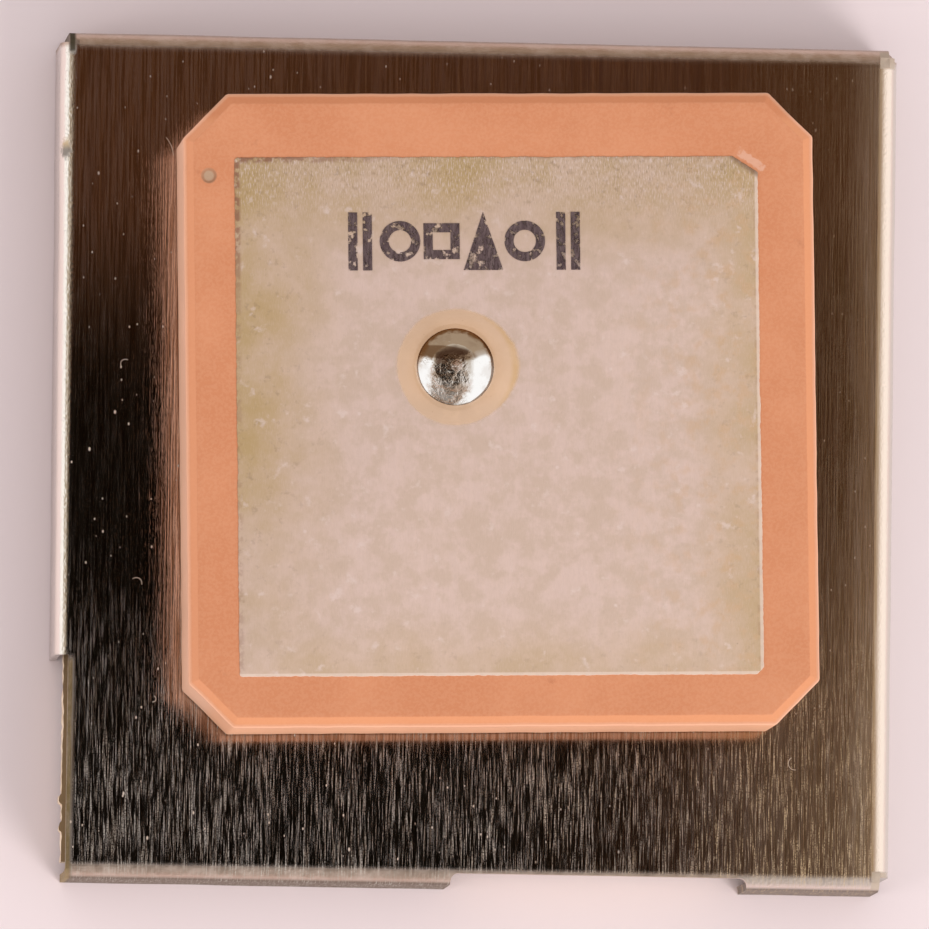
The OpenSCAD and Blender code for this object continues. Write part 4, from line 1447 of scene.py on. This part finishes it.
def slotOf(node):
    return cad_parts[node].material_slots[0].material.name.split(".")[0]


roundings = {
    "positioning_chip": 0.06 * mm,
    "radio_chip": 0.06 * mm,
    "flash_memory": 0.08 * mm,
    "radio_amplifier": 0.05 * mm,
    "voltage_regulator": 0.06 * mm,
    "band_filter": 0.05 * mm,
    "clock_base": 0.04 * mm,
    "clock_lid": 0.07 * mm,
    "watch_crystal": 0.12 * mm,
    "backup_cell": 0.14 * mm,
    "cell_tabs": 0.02 * mm,
    "power_inductor": 0.10 * mm,
    "tantalum_capacitors": 0.06 * mm,
    "socket_housing": 0.05 * mm,
    "socket_anchors": 0.03 * mm,
    "feed_pin": 0.05 * mm,
    "feed_joint": 0.05 * mm,
    "can_joints": 0.08 * mm,
}
for node, width in roundings.items():
    slotName = slotOf(node)
    if slotName == "black_package":
        finish = packageFinish(node)
    elif node == "tantalum_capacitors":
        finish = tantalumFinish(node)
    elif node == "band_filter":
        finish = filterFinish(node)
    else:
        finish = plainFinishes[slotName]
    roundedCopy(node, finish, width)

finishPiece(foamPad, plainFinishes["adhesive"], ["adhesive_pad"])


# pieces that repeat


def islands(node):
    # the corners of the box round each separate shape of a node
    bm = cadShape(node, flat=False)
    seen, boxes = set(), []
    for start in bm.verts:
        if start in seen:
            continue
        seen.add(start)
        group, waiting = [], [start]
        while waiting:
            vert = waiting.pop()
            group.append(vert.co.copy())
            for edge in vert.link_edges:
                other = edge.other_vert(vert)
                if other not in seen:
                    seen.add(other)
                    waiting.append(other)
        boxes.append(
            [Vector(tuple(pick(place[axis] for place in group) for axis in range(3))) for pick in (min, max)]
        )
    bm.free()
    return boxes


def buildRepeats():
    tree = bpy.data.node_groups.new("repeatedParts", "GeometryNodeTree")
    inputs = {
        "Geometry": "Geometry", "Part": "Object", "Material": "Material", "Wobble": "Float", "Seed": "Int"
    }
    for label, kind in inputs.items():
        tree.interface.new_socket(name=label, in_out="INPUT", socket_type="NodeSocket" + kind)
    tree.interface.new_socket(name="Geometry", in_out="OUTPUT", socket_type="NodeSocketGeometry")
    given, made = valuesOf(tree.nodes.new("NodeGroupInput")), tree.nodes.new("NodeGroupOutput")
    part = addNode(tree, "GeometryNodeObjectInfo", {"Object": given["Part"]}, transform_space="ORIGINAL")
    grow = addNode(tree, "GeometryNodeInputNamedAttribute", {"Name": "grow"}, data_type="FLOAT_VECTOR")
    turn = addNode(tree, "GeometryNodeInputNamedAttribute", {"Name": "turn"}, data_type="FLOAT")
    chance = addNode(tree, "FunctionNodeRandomValue", {"Seed": given["Seed"]}, data_type="FLOAT")
    for name, limit in (("Min", -1.0), ("Max", 1.0)):
        join(limit, inUse(chance.inputs, name))
    angle = Value(inUse(turn.outputs)) + Value(inUse(chance.outputs)) * given["Wobble"]
    euler = addNode(tree, "ShaderNodeCombineXYZ", {"Z": angle})
    places = {
        "Points": given["Geometry"],
        "Instance": part.outputs["Geometry"],
        "Rotation": addNode(tree, "FunctionNodeEulerToRotation", {0: euler.outputs[0]}).outputs[0],
        "Scale": inUse(grow.outputs),
    }
    placed = addNode(tree, "GeometryNodeInstanceOnPoints", places)
    real = addNode(tree, "GeometryNodeRealizeInstances", {0: placed.outputs[0]})
    painted = {"Geometry": real.outputs[0], "Material": given["Material"]}
    join(addNode(tree, "GeometryNodeSetMaterial", painted).outputs[0], made.inputs["Geometry"])
    return tree


repeatTree = buildRepeats()


def repeatPart(node, part, finish, wobble=0.0, seed=1, towards=None):
    # one part at each shape of the node, its X axis along the longer side and away from what it belongs to
    bm = bmesh.new()
    turnLayer, growLayer = bm.verts.layers.float.new("turn"), bm.verts.layers.float_vector.new("grow")
    first = None
    for low, high in islands(node):
        centre, size = (low + high) / 2, high - low
        turn = 0.0 if size.x >= size.y else math.pi / 2
        if towards is not None:
            owner = min(towards, key=lambda other: (middle(other) - centre).length)
            away = centre - middle(owner)
            if (away.x if size.x > size.y else away.y) < 0:
                turn += math.pi
        size = Vector((max(size.x, size.y), min(size.x, size.y), size.z))
        first = first or size
        vert = bm.verts.new(centre)
        vert[turnLayer] = turn
        vert[growLayer] = (size.x / first.x, size.y / first.y, size.z / first.z)
    piece = newPiece(pieceName(node), bm)
    model = closedPiece(piece.name + "Model", part(first))
    modifier = piece.modifiers.new("repeat", "NODES")
    modifier.node_group = repeatTree
    values = {"Part": model, "Material": finish.material, "Wobble": wobble, "Seed": seed}
    for item in repeatTree.interface.items_tree:
        if item.in_out == "INPUT" and item.name in values:
            modifier[item.identifier] = values[item.name]
    settle(piece)
    bpy.data.objects.remove(model)
    finishPiece(piece, finish, [node])


partFacts = {
    "chipStations": (
        (-0.5, 0.86),
        (-0.45, 1.0),
        (-0.27, 1.0),
        (-0.255, 0.92),
        (0.255, 0.92),
        (0.27, 1.0),
        (0.45, 1.0),
        (0.5, 0.86),
    ),
    "metalFrom": 0.26,
    "chamfer": 0.14,
    "leadPath": (
        (-0.5, 0.5), (-0.24, 0.5), (-0.12, 0.4), (-0.02, -0.3), (0.06, -0.47), (0.2, -0.5), (0.5, -0.5)
    ),
    "leadThick": 0.13 * mm,
    "contactPath": (
        (-0.5, -0.5), (-0.38, -0.5), (-0.34, -0.44), (-0.33, 0.42), (-0.30, 0.5),
        (0.3, 0.5), (0.38, 0.42), (0.45, 0.44), (0.5, 0.5),
    ),
    "contactThick": 0.14 * mm,
    "padRound": 0.04 * mm,
}


def chipPart(size):
    bm = bmesh.new()
    metal = bm.verts.layers.float.new("metal")
    rings = []
    for along, grow in partFacts["chipStations"]:
        halfY, halfZ = size.y / 2 * grow, size.z / 2 * grow
        cut = size.z * partFacts["chamfer"] * grow
        corners = [
            (halfY, cut - halfZ), (halfY, halfZ - cut), (halfY - cut, halfZ), (cut - halfY, halfZ),
            (-halfY, halfZ - cut), (-halfY, cut - halfZ), (cut - halfY, -halfZ), (halfY - cut, -halfZ),
        ]
        ring = [bm.verts.new((along * size.x, y, z)) for y, z in corners]
        for vert in ring:
            vert[metal] = float(abs(along) > partFacts["metalFrom"])
        rings.append(ring)
    return capEnds(bm, rings)


def bentPart(size, path, thick):
    # a strip bent along a path given in shares of its length and height
    bm = bmesh.new()
    places = [Vector((along * size.x, up * (size.z - thick))) for along, up in path]
    rings = []
    for index, place in enumerate(places):
        way = (places[min(index + 1, len(places) - 1)] - places[max(index - 1, 0)]).normalized()
        side = Vector((-way.y, way.x)) * thick / 2
        upper, under = place + side, place - side
        half = size.y / 2
        ring = [
            (upper.x, half, upper.y),
            (upper.x, -half, upper.y),
            (under.x, -half, under.y),
            (under.x, half, under.y),
        ]
        rings.append([bm.verts.new(corner) for corner in ring])
    return capEnds(bm, rings)


def leadPart(size):
    return bentPart(size, partFacts["leadPath"], partFacts["leadThick"])


def contactPart(size):
    return bentPart(size, partFacts["contactPath"], partFacts["contactThick"])


def padPart(size):
    bm = bmesh.new()
    half, rounded = size.x / 2, partFacts["padRound"]
    profile = ((half, size.z / 2), (half, rounded * 0.2 - size.z / 2), (half - rounded, -size.z / 2))
    rings = [addRing(bm, ringPoints((0, 0), radius, 24), height) for radius, height in profile]
    return capEnds(bm, rings)


capacitorEnds = endedFinish("capacitorEndsFinish", (0.42, 0.26, 0.14), shine=0.5)
resistorEnds = endedFinish("resistorEndsFinish", (0.022, 0.022, 0.025), shine=0.38)
leadMetal, goldPlate = plainFinishes["lead_metal"], plainFinishes["gold_plate"]
repeatPart("ceramic_capacitors", chipPart, capacitorEnds, wobble=0.035, seed=3)
repeatPart("chip_resistors", chipPart, resistorEnds, wobble=0.035, seed=5)
repeatPart(
    "chip_leads", leadPart, leadMetal, towards=("flash_memory", "radio_amplifier", "voltage_regulator")
)
repeatPart("socket_contacts", contactPart, goldPlate, towards=("main_board",))
repeatPart("test_pads", padPart, goldPlate)

# the nodes that keep the frame's own shape
for name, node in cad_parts.items():
    if node.hide_render:
        continue
    for place in node.material_slots:
        if place.material and place.material.name.split(".")[0] in plainFinishes:
            place.material = plainFinishes[place.material.name.split(".")[0]].material
print("nodes finished")


# floor, backdrop and light

studioFacts = {
    "floorColour": (0.945, 0.825, 0.84),
    "ambient": 0.70,
    "ambientColour": (1.0, 0.955, 0.95),
    "cardHeight": 0.12,
    "cardDark": (0.0045, 0.0035, 0.0025),
    "cardBrown": (0.086, 0.037, 0.0165),
    "cardWarm": (0.30, 0.19, 0.07),
    "flagRadius": 0.33,
    "flags": (
        ("backFlag", 22.0, 166.0, (0.36, 0.26, 0.175)),
        ("frontFlag", 230.0, 284.0, (0.32, 0.265, 0.215)),
    ),  # degrees from the right
    "flagSteps": 24,
    "flagSoft": 8.0,  # degrees of fading at each end
}


def makeFloor(facts):
    bm = bmesh.new()
    bmesh.ops.create_grid(bm, x_segments=1, y_segments=1, size=0.9)
    floor = newPiece("studioFloor", bm)
    paper = Finish("floorFinish", roughness=0.8)
    paper.colour(facts["floorColour"])
    floor.data.materials.append(paper.material)
    floor.location.z = canLow.z - 0.02 * mm


def emptyMaterial(piece, name):
    material = bpy.data.materials.new(name)
    material.use_nodes = True
    material.node_tree.nodes.clear()
    piece.data.materials.append(material)
    return material.node_tree


def onlyReflected(piece):
    piece.visible_camera = piece.visible_diffuse = piece.visible_shadow = piece.visible_transmission = False


def makeCard(facts):
    # a dark flag over the module, seen only in its reflections: clear at the sides, half clear at the ends
    bm = bmesh.new()
    bmesh.ops.create_grid(bm, x_segments=1, y_segments=1, size=0.5, matrix=Matrix.Diagonal((0.62, 1.7, 1, 1)))
    card = newPiece("studioCard", bm)
    card.location.z = facts["cardHeight"]
    tree = emptyMaterial(card, "cardFinish")
    place = splitAxes(tree, addNode(tree, "ShaderNodeTexCoord").outputs["Object"])
    x, y = place.x, place.y
    # the openings at the sides close towards the back and the front left
    lean = y / (abs(x) + 0.02)
    leftWay = lean.ramp(0.9, 0.3) * lean.ramp(-1.6, -0.7)
    rightWay = lean.ramp(0.9, 0.2) * lean.ramp(-4.5, -2.5)
    left = x.ramp(-0.04, -0.34) * leftWay
    right = x.ramp(0.031, 0.20, kind="LINEAR")**0.40 * rightWay
    front = y.ramp(-0.03, -0.2, 0.0, 0.40, "LINEAR")
    back = y.ramp(0.03, 0.3, 0.0, 0.30, "LINEAR")
    sides = most(left, right)
    brown = most(y.ramp(0.014, 0.024), x.ramp(0.016, 0.030))
    tone = mixColour(tree, brown, facts["cardDark"], facts["cardBrown"])
    tone = mixColour(tree, most(sides, back).ramp(0.0, 0.3), tone, facts["cardWarm"])
    dark = addNode(tree, "ShaderNodeEmission", {"Color": tone})
    blendShaders(tree, most(sides, most(front, back)), dark, addNode(tree, "ShaderNodeBsdfTransparent"))
    onlyReflected(card)


def makeFlag(name, start, end, tone, facts):
    # a dim upright screen, seen only in reflections
    bm = bmesh.new()
    fade = bm.verts.layers.float.new("fade")
    count, radius = facts["flagSteps"], facts["flagRadius"]
    rings = []
    for height in (0.0, facts["cardHeight"] * 0.99):
        turns = [math.radians(start + (end - start) * step / count) for step in range(count + 1)]
        rings.append(
            addRing(bm, [Vector((math.cos(t) * radius, math.sin(t) * radius)) for t in turns], height)
        )
    for ring in rings:
        for step, vert in enumerate(ring):
            vert[fade] = min(1, (end - start) * min(step, count - step) / count / facts["flagSoft"])
    for step in range(count):
        bm.faces.new((rings[0][step], rings[0][step + 1], rings[1][step + 1], rings[1][step]))
    flag = newPiece(name, bm)
    tree = emptyMaterial(flag, name + "Finish")
    share = addNode(tree, "ShaderNodeAttribute", attribute_name="fade").outputs["Fac"]
    dim = addNode(tree, "ShaderNodeEmission", {"Color": tone})
    blendShaders(tree, share, addNode(tree, "ShaderNodeBsdfTransparent"), dim)
    onlyReflected(flag)


def makeWorld(facts):
    world = bpy.data.worlds.new("studioWorld")
    bpy.context.scene.world = world
    world.use_nodes = True
    tree = world.node_tree
    tree.nodes.clear()
    rays = valuesOf(addNode(tree, "ShaderNodeLightPath"))
    seen = most(rays["Is Camera Ray"], rays["Is Glossy Ray"], rays["Is Transmission Ray"])
    soft = addNode(
        tree, "ShaderNodeBackground", {"Color": facts["ambientColour"], "Strength": facts["ambient"]}
    )
    white = addNode(tree, "ShaderNodeBackground", {"Color": (1, 1, 1), "Strength": 1.0})
    blendShaders(tree, seen, soft, white, "World")


def addLamp(name, place, size, power, colour):
    light = bpy.data.lights.new(name, "AREA")
    light.shape = "DISK"
    light.size = size
    light.energy = power
    light.color = colour
    lamp = bpy.data.objects.new(name, light)
    lamp.location = place
    lamp.rotation_euler = (-Vector(place)).to_track_quat("-Z", "Y").to_euler()
    lamp.visible_glossy = False
    bpy.context.scene.collection.objects.link(lamp)


makeFloor(studioFacts)
makeCard(studioFacts)
for flag in studioFacts["flags"]:
    makeFlag(*flag, studioFacts)
makeWorld(studioFacts)
addLamp("rightLight", (0.55, -0.65, 0.5), size=0.5, power=4.8, colour=(1.0, 0.96, 0.95))
addLamp("leftLight", (-0.8, -0.25, 0.35), size=0.4, power=1.45, colour=(1.0, 0.94, 0.92))
bpy.context.scene.view_settings.view_transform = "Standard"
print("studio ready")
